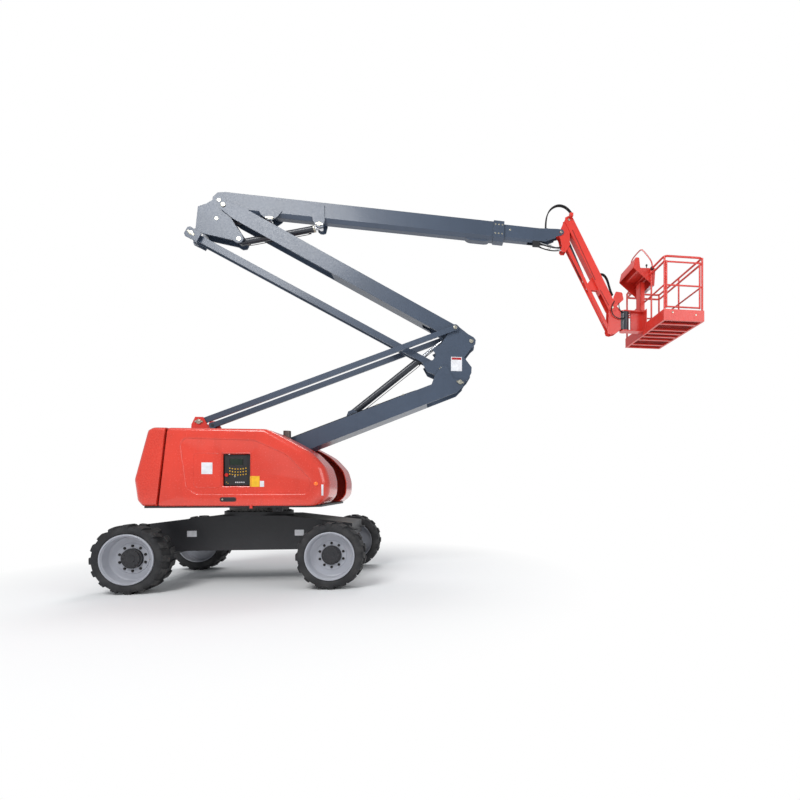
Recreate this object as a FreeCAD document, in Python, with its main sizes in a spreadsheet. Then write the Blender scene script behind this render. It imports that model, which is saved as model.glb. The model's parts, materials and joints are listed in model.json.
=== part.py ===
"""Articulating boom lift, written as a parametric document in millimetres.

The row frame: +X points from the slewing axis towards the work platform, +Y points away from
the side that the engine hood with the ground control shows, +Z is up. The origin lies on the
floor, on the slewing axis. The machine stands on its four tyres with its booms half raised.
"""
import FreeCAD, Part
import math
import os
import Sketcher

Vector = FreeCAD.Vector
doc = FreeCAD.newDocument("BoomLift")

# Driving dimensions: alias, value in millimetres or degrees, note
SIZES = [
    ("wheelbase", 2950, "between the two axles"),
    ("track_width", 2105, "between the tyre middles"),
    ("wheel_radius", 530, "to the top of the lugs"),
    ("tyre_width", 385, "across the side walls"),
    ("bead_radius", 372, "inner edge of the tyre"),
    ("lug_height", 26, "tread depth"),
    ("lug_count", 16, "lugs on each shoulder"),
    ("lug_half", 46, "half the width of a lug, round the tyre"),
    ("shoulder", 166, "from the tyre's middle to the tread's edge"),
    ("rim_radius", 371, "outside of the rim flange"),
    ("rim_wall", 12, "rim plate"),
    ("rim_half", 152, "from the wheel's middle to the rim's lip"),
    ("hub_radius", 150, "planetary hub"),
    ("hub_depth", 118, "from the rim's outer edge in to the hub's face"),
    ("kingpin_span", 1600, "between the two kingpins"),
    ("kingpin_radius", 32, ""),
    ("axle_height", 530, "wheel centres over the floor"),
    ("axle_half", 78, "half the height and width of the steered axle beam"),
    ("chassis_half", 520, "half the width of the chassis"),
    ("chassis_end", 1700, "from the slewing axis to each end"),
    ("chassis_top", 1140, "deck over the floor"),
    ("chassis_low", 560, "belly over the floor"),
    ("chassis_wall", 14, "plate"),
    ("tie_down_y", 352, "tie-down eyes from the middle"),
    ("tie_down_plate", 24, "thickness of a tie-down eye"),
    ("tie_down_radius", 26, "hole for a shackle"),
    ("turret_radius", 560, "raised base of the slewing ring"),
    ("ring_radius", 470, "slewing ring"),
    ("ring_base", 1205, "underside of the slewing ring"),
    ("ring_top", 1292, "top of the slewing ring"),
    ("deck_low", 1300, "underside of the turntable deck"),
    ("deck_plate", 32, "deck thickness"),
    ("deck_half", 1095, "half the deck's width"),
    ("hood_half", 1150, "half the width across the hoods"),
    ("hood_inner", 430, "from the middle to the hood's inner edge"),
    ("hood_top", 2540, "hood top over the floor"),
    ("hood_low", 1326, "hood bottom edge over the floor"),
    ("hood_wall", 44, "double skin of the hood's side"),
    ("hood_skin", 22, "hood's top and ends"),
    ("tower_inner", 250, "inner face of the boom tower plates"),
    ("tower_outer", 280, "outer face of the boom tower plates"),
    ("riser_pivot_x", -810, "foot of the lower boom"),
    ("riser_pivot_z", 1750, ""),
    ("lower_length", 4758, "pivot to pivot"),
    ("lower_angle", 22.4, "over the horizontal, as parked"),
    ("lower_half", 150, "half the height of the section"),
    ("lower_inner", 202, "inner face of the side plates"),
    ("lower_outer", 226, "outer face of the side plates"),
    ("link_shift_x", -90, "first link's pins from the lower boom's pivots"),
    ("link_shift_z", 1000, ""),
    ("link_half", 48, "half the height of the first link"),
    ("link_inner", 202, "inner face of the first link's bars"),
    ("link_outer", 242, "outer face of the first link's bars"),
    ("mid_shift_x", 210, "mid boom pivot from the lower boom's upper pivot"),
    ("mid_shift_z", 770, ""),
    ("mid_length", 4897, "pivot to pivot"),
    ("mid_angle", 27.2, "over the horizontal, as parked"),
    ("mid_half", 132, "half the height of the section"),
    ("mid_inner", 142, "inner face of the side plates"),
    ("mid_outer", 166, "outer face of the side plates"),
    ("tie_shift_x", -530, "second link's pins from the mid boom's pivots"),
    ("tie_shift_z", -525, ""),
    ("tie_half", 58, "half the height of the second link"),
    ("tie_inner", 70, "inner face of the second link's bars"),
    ("tie_outer", 105, "outer face of the second link's bars"),
    ("knee_inner", 172, "first knuckle's side plates"),
    ("knee_outer", 196, ""),
    ("head_inner", 112, "second knuckle's side plates"),
    ("head_outer", 136, ""),
    ("main_shift_x", -85, "main boom's pivot from the mid boom's upper pivot"),
    ("main_shift_z", 95, ""),
    ("main_angle", -2.3, "over the horizontal, as parked"),
    ("main_length", 5070, "pivot to the collar's front"),
    ("main_half_width", 105, ""),
    ("main_up", 172, "top of the section over the pivot's line"),
    ("main_down", 163, "bottom of the section under the pivot's line"),
    ("main_bevel", 62, "bevel along the two lower edges"),
    ("main_wall", 8, "plate"),
    ("fly_half_width", 84, ""),
    ("fly_up", 150, ""),
    ("fly_down", 124, ""),
    ("fly_wall", 8, "plate"),
    ("fly_start", 560, "inner end from the main boom's pivot"),
    ("fly_end", 6180, "end pin from the main boom's pivot"),
    ("fly_pin_up", 120, "end pin over the pivot's line"),
    ("nose_inner", 60, "jib head's side plates, inside the fly boom's fork"),
    ("nose_outer", 70, ""),
    ("jib_top_x", 160, "jib's upper pin from the fly boom's end pin"),
    ("jib_top_z", 250, ""),
    ("jib_length", 1865, "pin to pin"),
    ("jib_angle", -62.2, "over the horizontal, as parked"),
    ("jib_half", 88, "half the height of the jib's tube"),
    ("jib_half_width", 84, ""),
    ("jib_link_inner", 43, "inner face of the jib's lower link bars"),
    ("jib_link_outer", 57, ""),
    ("jib_link_x", -40, "lower link's pins from the jib's pins"),
    ("jib_link_z", -470, ""),
    ("pivot_x", 275, "platform's turning axis from the jib's lower pin"),
    ("floor_drop", 440, "platform floor below the jib's lower pin"),
    ("floor_gap", 390, "from the turning axis to the platform's edge"),
    ("cage_length", 1700, "platform across the machine"),
    ("cage_depth", 780, "platform along the boom"),
    ("cage_height", 1120, "floor to the top rail's middle"),
    ("toe_height", 150, "toe board"),
    ("tube_radius", 20, "rails and posts"),
    ("console_near", -270, "near end of the operator's console"),
    ("console_far", 420, "far end of the operator's console"),
    ("riser_foot_x", 2713, "riser cylinder's foot along the lower boom"),
    ("riser_foot_z", 215, ""),
    ("riser_eye_x", -480, "riser cylinder's eye along the mid boom"),
    ("riser_eye_z", -185, ""),
    ("riser_bore", 60, "outside radius of the riser cylinder"),
    ("riser_rod", 36, ""),
    ("lift_foot_x", 245, "lift cylinder's foot from the second knuckle's mid boom pin"),
    ("lift_foot_z", -560, ""),
    ("lift_eye_x", 1709, "lift cylinder's eye along the main boom"),
    ("lift_eye_z", -228, ""),
    ("lift_bore", 54, ""),
    ("lift_rod", 32, ""),
    ("level_foot_x", -125, "levelling cylinder's foot from the second knuckle's mid boom pin"),
    ("level_foot_z", -230, ""),
    ("level_eye_x", 849, "levelling cylinder's eye along the main boom"),
    ("level_eye_z", -208, ""),
    ("level_bore", 32, ""),
    ("level_rod", 18, ""),
    ("nose_foot_x", 5190, "front levelling cylinder's foot along the fly boom"),
    ("nose_foot_z", 60, ""),
    ("nose_eye_x", 60, "front levelling cylinder's eye from the fly boom's end pin"),
    ("nose_eye_z", -310, ""),
    ("jib_foot_x", 120, "jib cylinder's foot from the fly boom's end pin"),
    ("jib_foot_z", -40, ""),
    ("jib_eye_x", 1305, "jib cylinder's eye along the jib"),
    ("jib_eye_z", -247, ""),
    ("jib_bore", 34, ""),
    ("jib_rod", 18, ""),
]

sheet = doc.addObject("Spreadsheet::Sheet", "Sizes")
for row, (alias, value, note) in enumerate(SIZES, start=1):
    sheet.set(f"A{row}", alias)
    sheet.set(f"B{row}", str(value))
    sheet.set(f"C{row}", note)
    sheet.setAlias(f"B{row}", alias)
doc.recompute()
WORDS = sorted((alias for alias, value, note in SIZES), key=len, reverse=True)


def cells(text):
    """Write a formula of aliases as an expression on the sheet's cells."""
    text = str(text)
    out, word = "", ""
    for letter in text + " ":
        if letter.isalnum() or letter == "_":
            word += letter
            continue
        out += f"Sizes.{word}" if word in WORDS else word
        out += letter
        word = ""
    return out.strip()


def number(text):
    """Value of a formula, in millimetres."""
    value = sheet.evalExpression(cells(text))
    return float(getattr(value, "Value", value))


parts = {}
PLANES = {"XZ": "XZ_Plane", "YZ": "YZ_Plane", "XY": "XY_Plane"}


def new_body(label):
    """A body whose Label names its file."""
    body = doc.addObject("PartDesign::Body", "Body_" + label)
    body.Label = label
    body.AllowCompound = True
    parts[label] = body
    return body


def place(body, x=0, y=0, z=0, tilt=0):
    """Put a body's own origin at (x, y, z) and raise its +X end by tilt degrees."""
    for axis, formula in (("x", x), ("y", y), ("z", z)):
        body.setExpression(f"Placement.Base.{axis}", cells(formula))
    angle = number(tilt)
    if angle:
        axis = Vector(0, -1, 0) if angle > 0 else Vector(0, 1, 0)
        body.Placement.Rotation = FreeCAD.Rotation(axis, abs(angle))
        body.setExpression("Placement.Rotation.Angle", cells(f"abs({tilt})"))


def new_sketch(body, plane, level):
    """Sketch on one of the body's origin planes, moved to a level along +Y, +X or +Z."""
    sketch = body.newObject("Sketcher::SketchObject", "Sketch")
    origin = [o for o in body.Origin.OriginFeatures if o.Role == PLANES[plane]][0]
    sketch.AttachmentSupport = [(origin, "")]
    sketch.MapMode = "FlatFace"
    formula = f"-({level})" if plane == "XZ" else level
    sketch.setExpression("AttachmentOffset.Base.z", cells(formula))
    return sketch


def draw(sketch, corners):
    """Closed outline whose corners are pairs of formulas."""
    spots = [(number(a), number(b)) for a, b in corners]
    for i, (a, b) in enumerate(spots):
        c, d = spots[(i + 1) % len(spots)]
        sketch.addGeometry(Part.LineSegment(Vector(a, b, 0), Vector(c, d, 0)), False)
    for i in range(len(spots)):
        sketch.addConstraint(Sketcher.Constraint("Coincident", i, 2, (i + 1) % len(spots), 1))
    for i, (a, b) in enumerate(corners):
        for kind, formula, value in (("DistanceX", a, spots[i][0]), ("DistanceY", b, spots[i][1])):
            if abs(value) < 1e-9:
                other = -2 if kind == "DistanceX" else -1
                sketch.addConstraint(Sketcher.Constraint("PointOnObject", i, 1, other))
                continue
            index = sketch.addConstraint(Sketcher.Constraint(kind, -1, 1, i, 1, value))
            sketch.setExpression(f"Constraints[{index}]", cells(formula))


def circle(sketch, a, b, radius):
    """Circle by formulas for its centre and radius."""
    x, y, r = number(a), number(b), number(radius)
    sketch.addGeometry(Part.Circle(Vector(x, y, 0), Vector(0, 0, 1), r), False)
    index = sketch.addConstraint(Sketcher.Constraint("Radius", 0, r))
    sketch.setExpression(f"Constraints[{index}]", cells(radius))
    for kind, formula, value in (("DistanceX", a, x), ("DistanceY", b, y)):
        if abs(value) < 1e-9:
            other = -2 if kind == "DistanceX" else -1
            sketch.addConstraint(Sketcher.Constraint("PointOnObject", 0, 3, other))
            continue
        index = sketch.addConstraint(Sketcher.Constraint(kind, -1, 1, 0, 3, value))
        sketch.setExpression(f"Constraints[{index}]", cells(formula))


def extrude(body, kind, sketch, length):
    """Pad or pocket along the sketch plane's normal."""
    feature = body.newObject("PartDesign::" + kind, kind)
    feature.Profile = sketch
    feature.Length = number(length)
    feature.setExpression("Length", cells(length))
    if kind == "Pocket":
        feature.Reversed = True
    feature.Refine = True
    return feature


def slab(body, plane, outline, low, high, cut=False):
    """Prism between two levels across a plane; outline is a list of corners or (a, b, radius)."""
    start = high if plane == "XZ" else low
    sketch = new_sketch(body, plane, start)
    if isinstance(outline, tuple):
        circle(sketch, *outline)
    else:
        draw(sketch, outline)
    return extrude(body, "Pocket" if cut else "Pad", sketch, f"({high}) - ({low})")


def both(body, outline, inner, outer, cut=False):
    """The same plate on the near and the far side."""
    slab(body, "XZ", outline, inner, outer, cut)
    slab(body, "XZ", outline, f"-({outer})", f"-({inner})", cut)


def box(x0, x1, z0, z1):
    """Corners of an upright rectangle."""
    return [(x0, z0), (x1, z0), (x1, z1), (x0, z1)]


def pin(body, x, z, radius, reach):
    """Round pin across the machine."""
    slab(body, "XZ", (x, z, radius), f"-({reach})", reach)


def stubs(body, x, z, radius, inner, outer):
    """The two ends of a pin whose middle belongs to the piece between them."""
    both(body, (x, z, radius), inner, outer)


def hole(body, x, z, radius, reach):
    """Round hole across the machine."""
    slab(body, "XZ", (x, z, radius), f"-({reach})", reach, cut=True)


def along(x, z, angle, u, w):
    """Formulas for the point at (u, w) in the frame of a boom that starts at (x, z)."""
    turn = f"{angle} * 1 deg"
    return (f"({x} + ({u}) * cos({turn}) - ({w}) * sin({turn}))",
            f"({z} + ({u}) * sin({turn}) + ({w}) * cos({turn}))")


# Places that several pieces share, as formulas of the driving dimensions
knee_x = "(riser_pivot_x + lower_length * cos(lower_angle * 1 deg))"
knee_z = "(riser_pivot_z + lower_length * sin(lower_angle * 1 deg))"
mid_x = f"({knee_x} + mid_shift_x)"
mid_z = f"({knee_z} + mid_shift_z)"
head_x = f"({mid_x} - mid_length * cos(mid_angle * 1 deg))"
head_z = f"({mid_z} + mid_length * sin(mid_angle * 1 deg))"
main_x = f"({head_x} + main_shift_x)"
main_z = f"({head_z} + main_shift_z)"
nose_x, nose_z = along(main_x, main_z, "main_angle", "fly_end", "fly_pin_up")
jib_x = f"({nose_x} + jib_top_x)"
jib_z = f"({nose_z} + jib_top_z)"
end_x = f"({jib_x} + jib_length * cos(jib_angle * 1 deg))"
end_z = f"({jib_z} + jib_length * sin(jib_angle * 1 deg))"
cage_x = f"({end_x} + pivot_x)"
cage_z = f"({end_z} - floor_drop)"

# Chassis: a tapered box open below, with axle seats and the turret's raised base
frame = new_body("chassis_frame")
side = [("-chassis_end", 760), (-1150, "chassis_low"), (1150, "chassis_low"), ("chassis_end", 760),
        ("chassis_end", 1000), (600, "chassis_top"), (-600, "chassis_top"), ("-chassis_end", 1000)]
slab(frame, "XZ", side, "-chassis_half", "chassis_half")
hollow = [("chassis_wall - chassis_end", 790), (-1080, 592), (-1080, "chassis_low - 20"),
          (1080, "chassis_low - 20"), (1080, 592), ("chassis_end - chassis_wall", 790),
          ("chassis_end - chassis_wall", 985), (596, "chassis_top - chassis_wall"),
          (-596, "chassis_top - chassis_wall"), ("chassis_wall - chassis_end", 985)]
slab(frame, "XZ", hollow, "chassis_wall - chassis_half", "chassis_half - chassis_wall", cut=True)
slab(frame, "XY", (0, 0, "turret_radius"), "chassis_top - 4", "ring_base")
for end in (-1, 1):
    seat = box(f"{end} * wheelbase / 2 - 85", f"{end} * wheelbase / 2 + 85", "axle_height + axle_half", 720)
    both(frame, seat, 150, 230)
slab(frame, "XY", (0, 0, 300), "chassis_low", "ring_base + 5", cut=True)

# Tie-down eyes on the chassis ends: a plate with a hole for a shackle
for end_name, end in (("steer", -1), ("drive", 1)):
    for side_name, side in (("near", -1), ("far", 1)):
        eye = new_body(f"eye_{end_name}_{side_name}")
        lobe = [(f"{end} * (chassis_end + {reach})", f"{side} * tie_down_y + {across}")
                for reach, across in ((0, -60), (50, -48), (85, -20), (85, 20), (50, 48), (0, 60))]
        slab(eye, "XY", lobe, "880 - tie_down_plate / 2", "880 + tie_down_plate / 2")
        shackle = (f"{end} * (chassis_end + 38)", f"{side} * tie_down_y", "tie_down_radius")
        slab(eye, "XY", shackle, 860, 900, cut=True)

ring = new_body("slew_ring")
slab(ring, "XY", (0, 0, "ring_radius"), "ring_base", "ring_top")
slab(ring, "XY", (0, 0, 300), "ring_base - 5", "ring_top + 5", cut=True)

# Steered axle at the -X end: beam, kingpin yokes and the steering cylinder
steer = new_body("steer_axle")
front = "-wheelbase / 2"
slab(steer, "XZ", box(f"{front} - axle_half", f"{front} + axle_half", "axle_height - axle_half",
                      "axle_height + axle_half"), "-kingpin_span / 2 + 65", "kingpin_span / 2 - 65")
for low, high in (("axle_height - axle_half - 32", "axle_height - axle_half"),
                  ("axle_height + axle_half", "axle_height + axle_half + 32")):
    for sign in (-1, 1):
        pin_y = f"{sign} * kingpin_span / 2"
        root = f"{sign} * (kingpin_span / 2 - 110)"
        fork = [(f"{front} + {x}", y) for x, y in ((-58, root), (58, root), (58, pin_y), (-58, pin_y))]
        slab(steer, "XY", fork, low, high)
        slab(steer, "XY", (front, pin_y, 58), low, high)
        slab(steer, "XY", (front, pin_y, "kingpin_radius + 1"), f"{low} - 5", f"{high} + 5", cut=True)
slab(steer, "XZ", (f"{front} + 150", "axle_height", 36), -300, 300)
for sign in (-1, 1):
    slab(steer, "XZ", box(f"{front} + 70", f"{front} + 150", "axle_height - 30", "axle_height + 30"),
         f"{sign * 200} - 20", f"{sign * 200} + 20")

# Driven axle at the +X end: housing, tubes, pads and flanges
drive = new_body("drive_axle")
rear = "wheelbase / 2"
slab(drive, "XZ", (rear, "axle_height", "axle_half"), "-kingpin_span / 2", "kingpin_span / 2")
slab(drive, "XZ", (rear, "axle_height", 130), -125, 125)
slab(drive, "XZ", (rear, "axle_height", 120), "kingpin_span / 2 - 10", "kingpin_span / 2 + 54")
slab(drive, "XZ", (rear, "axle_height", 120), "-kingpin_span / 2 - 54", "-kingpin_span / 2 + 10")
both(drive, box(f"{rear} - 78", f"{rear} + 78", "axle_height", "axle_height + axle_half"), 150, 230)

for name, sign in (("near", -1), ("far", 1)):
    knuckle = new_body("steer_knuckle_" + name)
    slab(knuckle, "XY", (0, 0, "kingpin_radius"), "-axle_half - 34", "axle_half + 34")
    slab(knuckle, "XY", (0, 0, 60), "2 - axle_half", "axle_half - 2")
    first, last = (20, 54) if sign > 0 else (-54, -20)
    slab(knuckle, "XZ", (0, 0, 74), first, last)
    place(knuckle, front, f"{sign} * kingpin_span / 2", "axle_height")


def sided(radius, count, phase=0.5):
    """Corners of a regular outline whose flats lie on the radius."""
    corner = f"({radius}) / cos({180 / count} * 1 deg)"
    turns = [(i + phase) * 360 / count for i in range(count)]
    return [(f"{corner} * cos({turn} * 1 deg)", f"{corner} * sin({turn} * 1 deg)") for turn in turns]


def lug(body, sign, turn):
    """One lug on a flat of the carcass; sign picks the shoulder."""
    start = "wheel_radius - lug_height - 4"
    sketch = body.newObject("Sketcher::SketchObject", "Lug")
    origin = [o for o in body.Origin.OriginFeatures if o.Role == "YZ_Plane"][0]
    sketch.AttachmentSupport = [(origin, "")]
    sketch.MapMode = "FlatFace"
    angle = math.radians(turn)
    offset = Vector(number(start) * math.sin(angle), 0, number(start) * math.cos(angle))
    sketch.AttachmentOffset = FreeCAD.Placement(offset, FreeCAD.Rotation(Vector(0, 1, 0), turn))
    inner, outer = 8 * sign, f"{sign} * (tyre_width / 2 - 8)"
    draw(sketch, [("-lug_half", inner), ("lug_half", inner), ("lug_half - 6", outer),
                  ("6 - lug_half", outer)])
    return extrude(body, "Pad", sketch, f"sqrt(wheel_radius ^ 2 - lug_half ^ 2) - ({start})")


def tyre_of(body, flats=32):
    """Carcass with flats and eased shoulders, two rows of lugs and seats for the rim's lips."""
    carcass = slab(body, "XY", sided("wheel_radius - lug_height", flats), "2 - tyre_width / 2",
                   "tyre_width / 2 - 2")
    doc.recompute()
    reach = number("wheel_radius - lug_height") - 1
    ends = [f"Edge{i}" for i, edge in enumerate(carcass.Shape.Edges, start=1)
            if abs(edge.Vertexes[0].Z - edge.Vertexes[-1].Z) < 1
            and math.hypot(edge.CenterOfMass.x, edge.CenterOfMass.y) > reach]
    ease = body.newObject("PartDesign::Chamfer", "Shoulders")
    ease.Base = (carcass, ends)
    ease.Size = number("tyre_width / 2 - 2 - shoulder")
    ease.setExpression("Size", cells("tyre_width / 2 - 2 - shoulder"))
    lugs = [lug(body, 1, 0), lug(body, -1, 180 / number("lug_count"))]
    pattern = body.newObject("PartDesign::PolarPattern", "Lugs")
    pattern.Originals = lugs
    axis = [o for o in body.Origin.OriginFeatures if o.Role == "Z_Axis"][0]
    pattern.Axis = (axis, [""])
    pattern.Angle = 360
    pattern.Occurrences = int(number("lug_count"))
    pattern.setExpression("Occurrences", cells("lug_count"))
    body.Tip = pattern
    slab(body, "XY", sided("bead_radius", flats), "-tyre_width", "tyre_width", cut=True)
    for low, high in (("-tyre_width", "-rim_half"), ("rim_half", "tyre_width")):
        slab(body, "XY", sided("bead_radius + 18", flats), low, high, cut=True)


def rim_of(body, flats=32):
    """Rim with its lip, and the wheel disc with the hub's hole; its outside fits the tyre's flats."""
    slab(body, "XY", sided("rim_radius", flats), -172, "rim_half + 5")
    slab(body, "XY", sided("rim_radius + 13", flats), "rim_half + 3", 186)
    for low, high in ((-200, 2), (18, 200)):
        slab(body, "XY", (0, 0, "rim_radius - rim_wall"), low, high, cut=True)
    slab(body, "XY", (0, 0, "hub_radius + 1"), -10, 30, cut=True)


def hub_of(body):
    """Planetary hub: a drum with a raised cap."""
    slab(body, "XY", (0, 0, "hub_radius"), -188, "tyre_width / 2 - hub_depth - 14")
    slab(body, "XY", (0, 0, "hub_radius - 22"), 0, "tyre_width / 2 - hub_depth")


for end, along_x in (("steer", "-wheelbase / 2"), ("drive", "wheelbase / 2")):
    for name, sign in (("near", -1), ("far", 1)):
        for kind, shape_it in (("tyre", tyre_of), ("rim", rim_of), ("hub", hub_of)):
            piece = new_body(f"{kind}_{end}_{name}")
            shape_it(piece)
            place(piece, along_x, f"{sign} * track_width / 2", "axle_height")
            piece.Placement.Rotation = FreeCAD.Rotation(Vector(1, 0, 0), -90 * sign)

# Turntable: deck, boom tower, hood rails and the panel's post
table = new_body("turntable")
deck = [(-1375, -900), (-1300, "-deck_half"), (1100, "-deck_half"), (1280, -900), (1280, 900),
        (1100, "deck_half"), (-1300, "deck_half"), (-1375, 900)]
slab(table, "XY", deck, "deck_low", "deck_low + deck_plate")
slab(table, "XY", (0, 0, 420), "ring_top + 3", "deck_low + 2")
tower = [(-1075, "deck_low + deck_plate - 4"), (-1070, 1950), (-1020, 2700), (-960, 2830), (-840, 2830),
         (-770, 2700), (-600, 1950), (-330, "deck_low + deck_plate - 4")]
both(table, tower, "tower_inner", "tower_outer")
slab(table, "XZ", box(-1072, -1052, "deck_low + deck_plate - 4", 1560), "-tower_inner", "tower_inner")
pin(table, "riser_pivot_x", "riser_pivot_z", 45, "tower_outer + 16")
for low, high in (("link_inner - 4", "tower_outer + 14"), ("-tower_outer - 14", "4 - link_inner")):
    slab(table, "XZ", ("riser_pivot_x + link_shift_x", "riser_pivot_z + link_shift_z", 28), low, high)
for sign in (-1, 1):
    outer, inner = f"{sign} * (hood_inner - 48)", f"{sign} * (hood_inner - 20)"
    low, high = (outer, inner) if sign > 0 else (inner, outer)
    slab(table, "XZ", box(-950, 480, "hood_top - 60", "hood_top - 8"), low, high)
    for x in (-930, 430):
        slab(table, "XZ", box(x, x + 50, "deck_low + deck_plate - 4", "hood_top - 58"), low, high)
slab(table, "XZ", box(0, 90, "deck_low + deck_plate - 4", 1800), -1000, -960)

weight = new_body("counterweight")
block = [(-1320, "deck_low + deck_plate"), (-1108, "deck_low + deck_plate"), (-978, "hood_top"),
         (-1170, "hood_top"), (-1250, 2490), (-1440, 1740), (-1400, 1430)]
slab(weight, "XZ", block, "-hood_half", "hood_half")
slab(weight, "XZ", box(-1500, -900, 2150, 2700), -310, 310, cut=True)
slab(weight, "XZ", box(-1100, -900, 1300, 2700), -310, 310, cut=True)
slab(weight, "XZ", [(-1215, 1560), (-900, 1560), (-900, 2500), (-1090, 2500)], "60 - hood_half",
     "hood_half - 60", cut=True)

engine = new_body("engine")
slab(engine, "XZ", box(-760, 420, "deck_low + deck_plate", 2050), -950, -470)

tank = new_body("tank")
slab(tank, "XZ", box(-700, 500, "deck_low + deck_plate", 1900), 470, 1000)

exhaust = new_body("exhaust")
slab(exhaust, "XY", (575, -362, 56), "deck_low + deck_plate", 2180)
slab(exhaust, "XY", (575, -362, 62), 2300, 2600)
slab(exhaust, "XY", (575, -362, 40), 2170, 2320)
slab(exhaust, "XY", (575, -362, 50), 2340, 2610, cut=True)

panel = new_body("ground_panel")
slab(panel, "XZ", box(-140, 240, 1650, 2130), -1096, -1000)

# Hoods: one door each side, hinged along its inner top edge
skin = [(-1076, "hood_low"), (1240, "hood_low"), (1335, 1370), (1425, 1480), (1440, 1720), (1370, 1950),
        (1150, 2190), (860, 2360), (500, "hood_top"), (-945, "hood_top")]
inside = [(-1300, "hood_low - 50"), (1310, "hood_low - 50"), (1310, 1388), (1402, 1492), (1417, 1714),
          (1350, 1938), (1136, 2172), (850, 2340), (494, "hood_top - hood_skin"),
          (-1300, "hood_top - hood_skin")]
recess = [(-700, 1560), (-560, 1505), (1120, 1505), (1165, 1560), (1160, 1750), (830, 2130), (330, 2370),
          (-700, 2380), (-760, 2320)]
window = box(-152, 252, 1638, 2142)
placard = box(-570, -190, 1620, 2150)


def outward(sign, first, last):
    """Two levels from the middle outwards, in the order that a slab takes them."""
    return (f"{first}", f"{last}") if sign > 0 else (f"-({last})", f"-({first})")


for name, sign in (("near", -1), ("far", 1)):
    hood = new_body("hood_" + name)
    slab(hood, "XZ", skin, *outward(sign, "hood_inner", "hood_half"))
    slab(hood, "XZ", inside, *outward(sign, "hood_inner - 30", "hood_half - hood_wall"), cut=True)
    slab(hood, "XZ", recess, *outward(sign, "hood_half - 16", "hood_half + 10"), cut=True)
    if sign < 0:
        slab(hood, "XZ", window, *outward(sign, "hood_half - hood_wall - 10", "hood_half + 10"), cut=True)
        slab(hood, "XZ", placard, *outward(sign, "hood_half - 26", "hood_half + 10"), cut=True)
    for x in (-700, 300):
        slab(hood, "YZ", (f"{sign} * hood_inner", "hood_top - 10", 12), x, x + 120)

# Lower boom: two side plates with ears, top and bottom plates and the riser cylinder's lugs
lower = new_body("lower_boom")
ear = [(-60, "-lower_half"), ("lower_length - 130", "-lower_half"), ("lower_length + 30", -80),
       ("lower_length + 84", 20), ("lower_length - 84", 100), ("lower_length - 115", 370),
       ("lower_length - 180", 400), ("lower_length - 380", 286), ("lower_length - 505", "lower_half"),
       (-60, "lower_half"), (-130, 60), (-130, -60)]
both(lower, ear, "lower_inner", "lower_outer")
for low, high in (("-lower_half", "14 - lower_half"), ("lower_half - 14", "lower_half")):
    slab(lower, "XZ", box(140, "lower_length - 720", low, high), "-lower_inner", "lower_inner")
pin(lower, 0, 0, 80, "tower_inner - 6")
hole(lower, 0, 0, 46, "tower_inner")
hole(lower, "lower_length", 0, 33, "lower_outer + 10")
ear = [("riser_foot_x - 150", "lower_half - 6"), ("riser_foot_x + 150", "lower_half - 6"),
       ("riser_foot_x + 45", "riser_foot_z + 45"), ("riser_foot_x - 45", "riser_foot_z + 45")]
both(lower, ear, 70, 92)
pin(lower, "riser_foot_x", "riser_foot_z", 24, 104)
place(lower, "riser_pivot_x", 0, "riser_pivot_z", "lower_angle")

link = new_body("link_one")
both(link, box(0, "lower_length", "-link_half", "link_half"), "link_inner", "link_outer")
for x in (0, "lower_length"):
    both(link, (x, 0, 60), "link_inner", "link_outer")
    both(link, (x, 0, 29), "link_inner - 5", "link_outer + 5", cut=True)
place(link, "riser_pivot_x + link_shift_x", 0, "riser_pivot_z + link_shift_z", "lower_angle")

# First knuckle: two plates that carry both booms and both links
knee = new_body("knuckle_one")
plate = [(40, -76), (92, 10), (140, 60), (210, 180), (215, 290), (75, 470), (215, 660), (282, 720),
         (292, 800), (250, 850), (60, 950), (-40, 1055), (-130, 1060), (-170, 980), (-350, 700),
         (-510, 600), (-440, 500), (-500, 400), (-610, 370), (-690, 330), (-610, 185), (-460, 120),
         (-250, 60), (-84, -20), (-50, -66)]
both(knee, plate, "knee_inner", "knee_outer")
slab(knee, "XZ", box(30, 54, 160, 450), "-knee_inner", "knee_inner")
pin(knee, 0, 0, 32, "lower_outer + 12")
pin(knee, "mid_shift_x", "mid_shift_z", 32, "knee_outer + 10")
pin(knee, "mid_shift_x + tie_shift_x", "mid_shift_z + tie_shift_z", 30, "knee_inner + 4")
for low, high in (("knee_outer - 4", "link_outer + 10"), ("-link_outer - 10", "4 - knee_outer")):
    slab(knee, "XZ", ("link_shift_x", "link_shift_z", 28), low, high)
place(knee, knee_x, 0, knee_z)

# Mid boom: its own origin is its lower pivot and it runs along its own -X
mid = new_body("mid_boom")
shape = [(0, -78), (70, -40), (80, 20), (30, 76), (-300, "mid_half"), ("250 - mid_length", "mid_half"),
         ("-mid_length", 86), ("-mid_length - 80", 30), ("-mid_length - 80", -30), ("-mid_length", -86),
         ("250 - mid_length", "-mid_half"), (-300, "-mid_half")]
both(mid, shape, "mid_inner", "mid_outer")
for low, high in (("-mid_half", "12 - mid_half"), ("mid_half - 12", "mid_half")):
    slab(mid, "XZ", box("2120 - mid_length", -800, low, high), "-mid_inner", "mid_inner")
slab(mid, "XZ", box(-600, -360, "-mid_half", "24 - mid_half"), "-mid_inner", "mid_inner")
for start, stop, side in ((-950, -780, 76), (-700, -300, 66)):
    slot = [(start, -side), (stop, -side), (stop, side), (start, side)]
    slab(mid, "XY", slot, "-mid_half - 10", "30 - mid_half", cut=True)
ear = [(-590, "6 - mid_half"), (-370, "6 - mid_half"), ("riser_eye_x + 40", "riser_eye_z - 42"),
       ("riser_eye_x - 40", "riser_eye_z - 42")]
both(mid, ear, 66, 88)
stubs(mid, "riser_eye_x", "riser_eye_z", 22, 70, 96)
hole(mid, 0, 0, 33, "mid_outer + 10")
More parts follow.
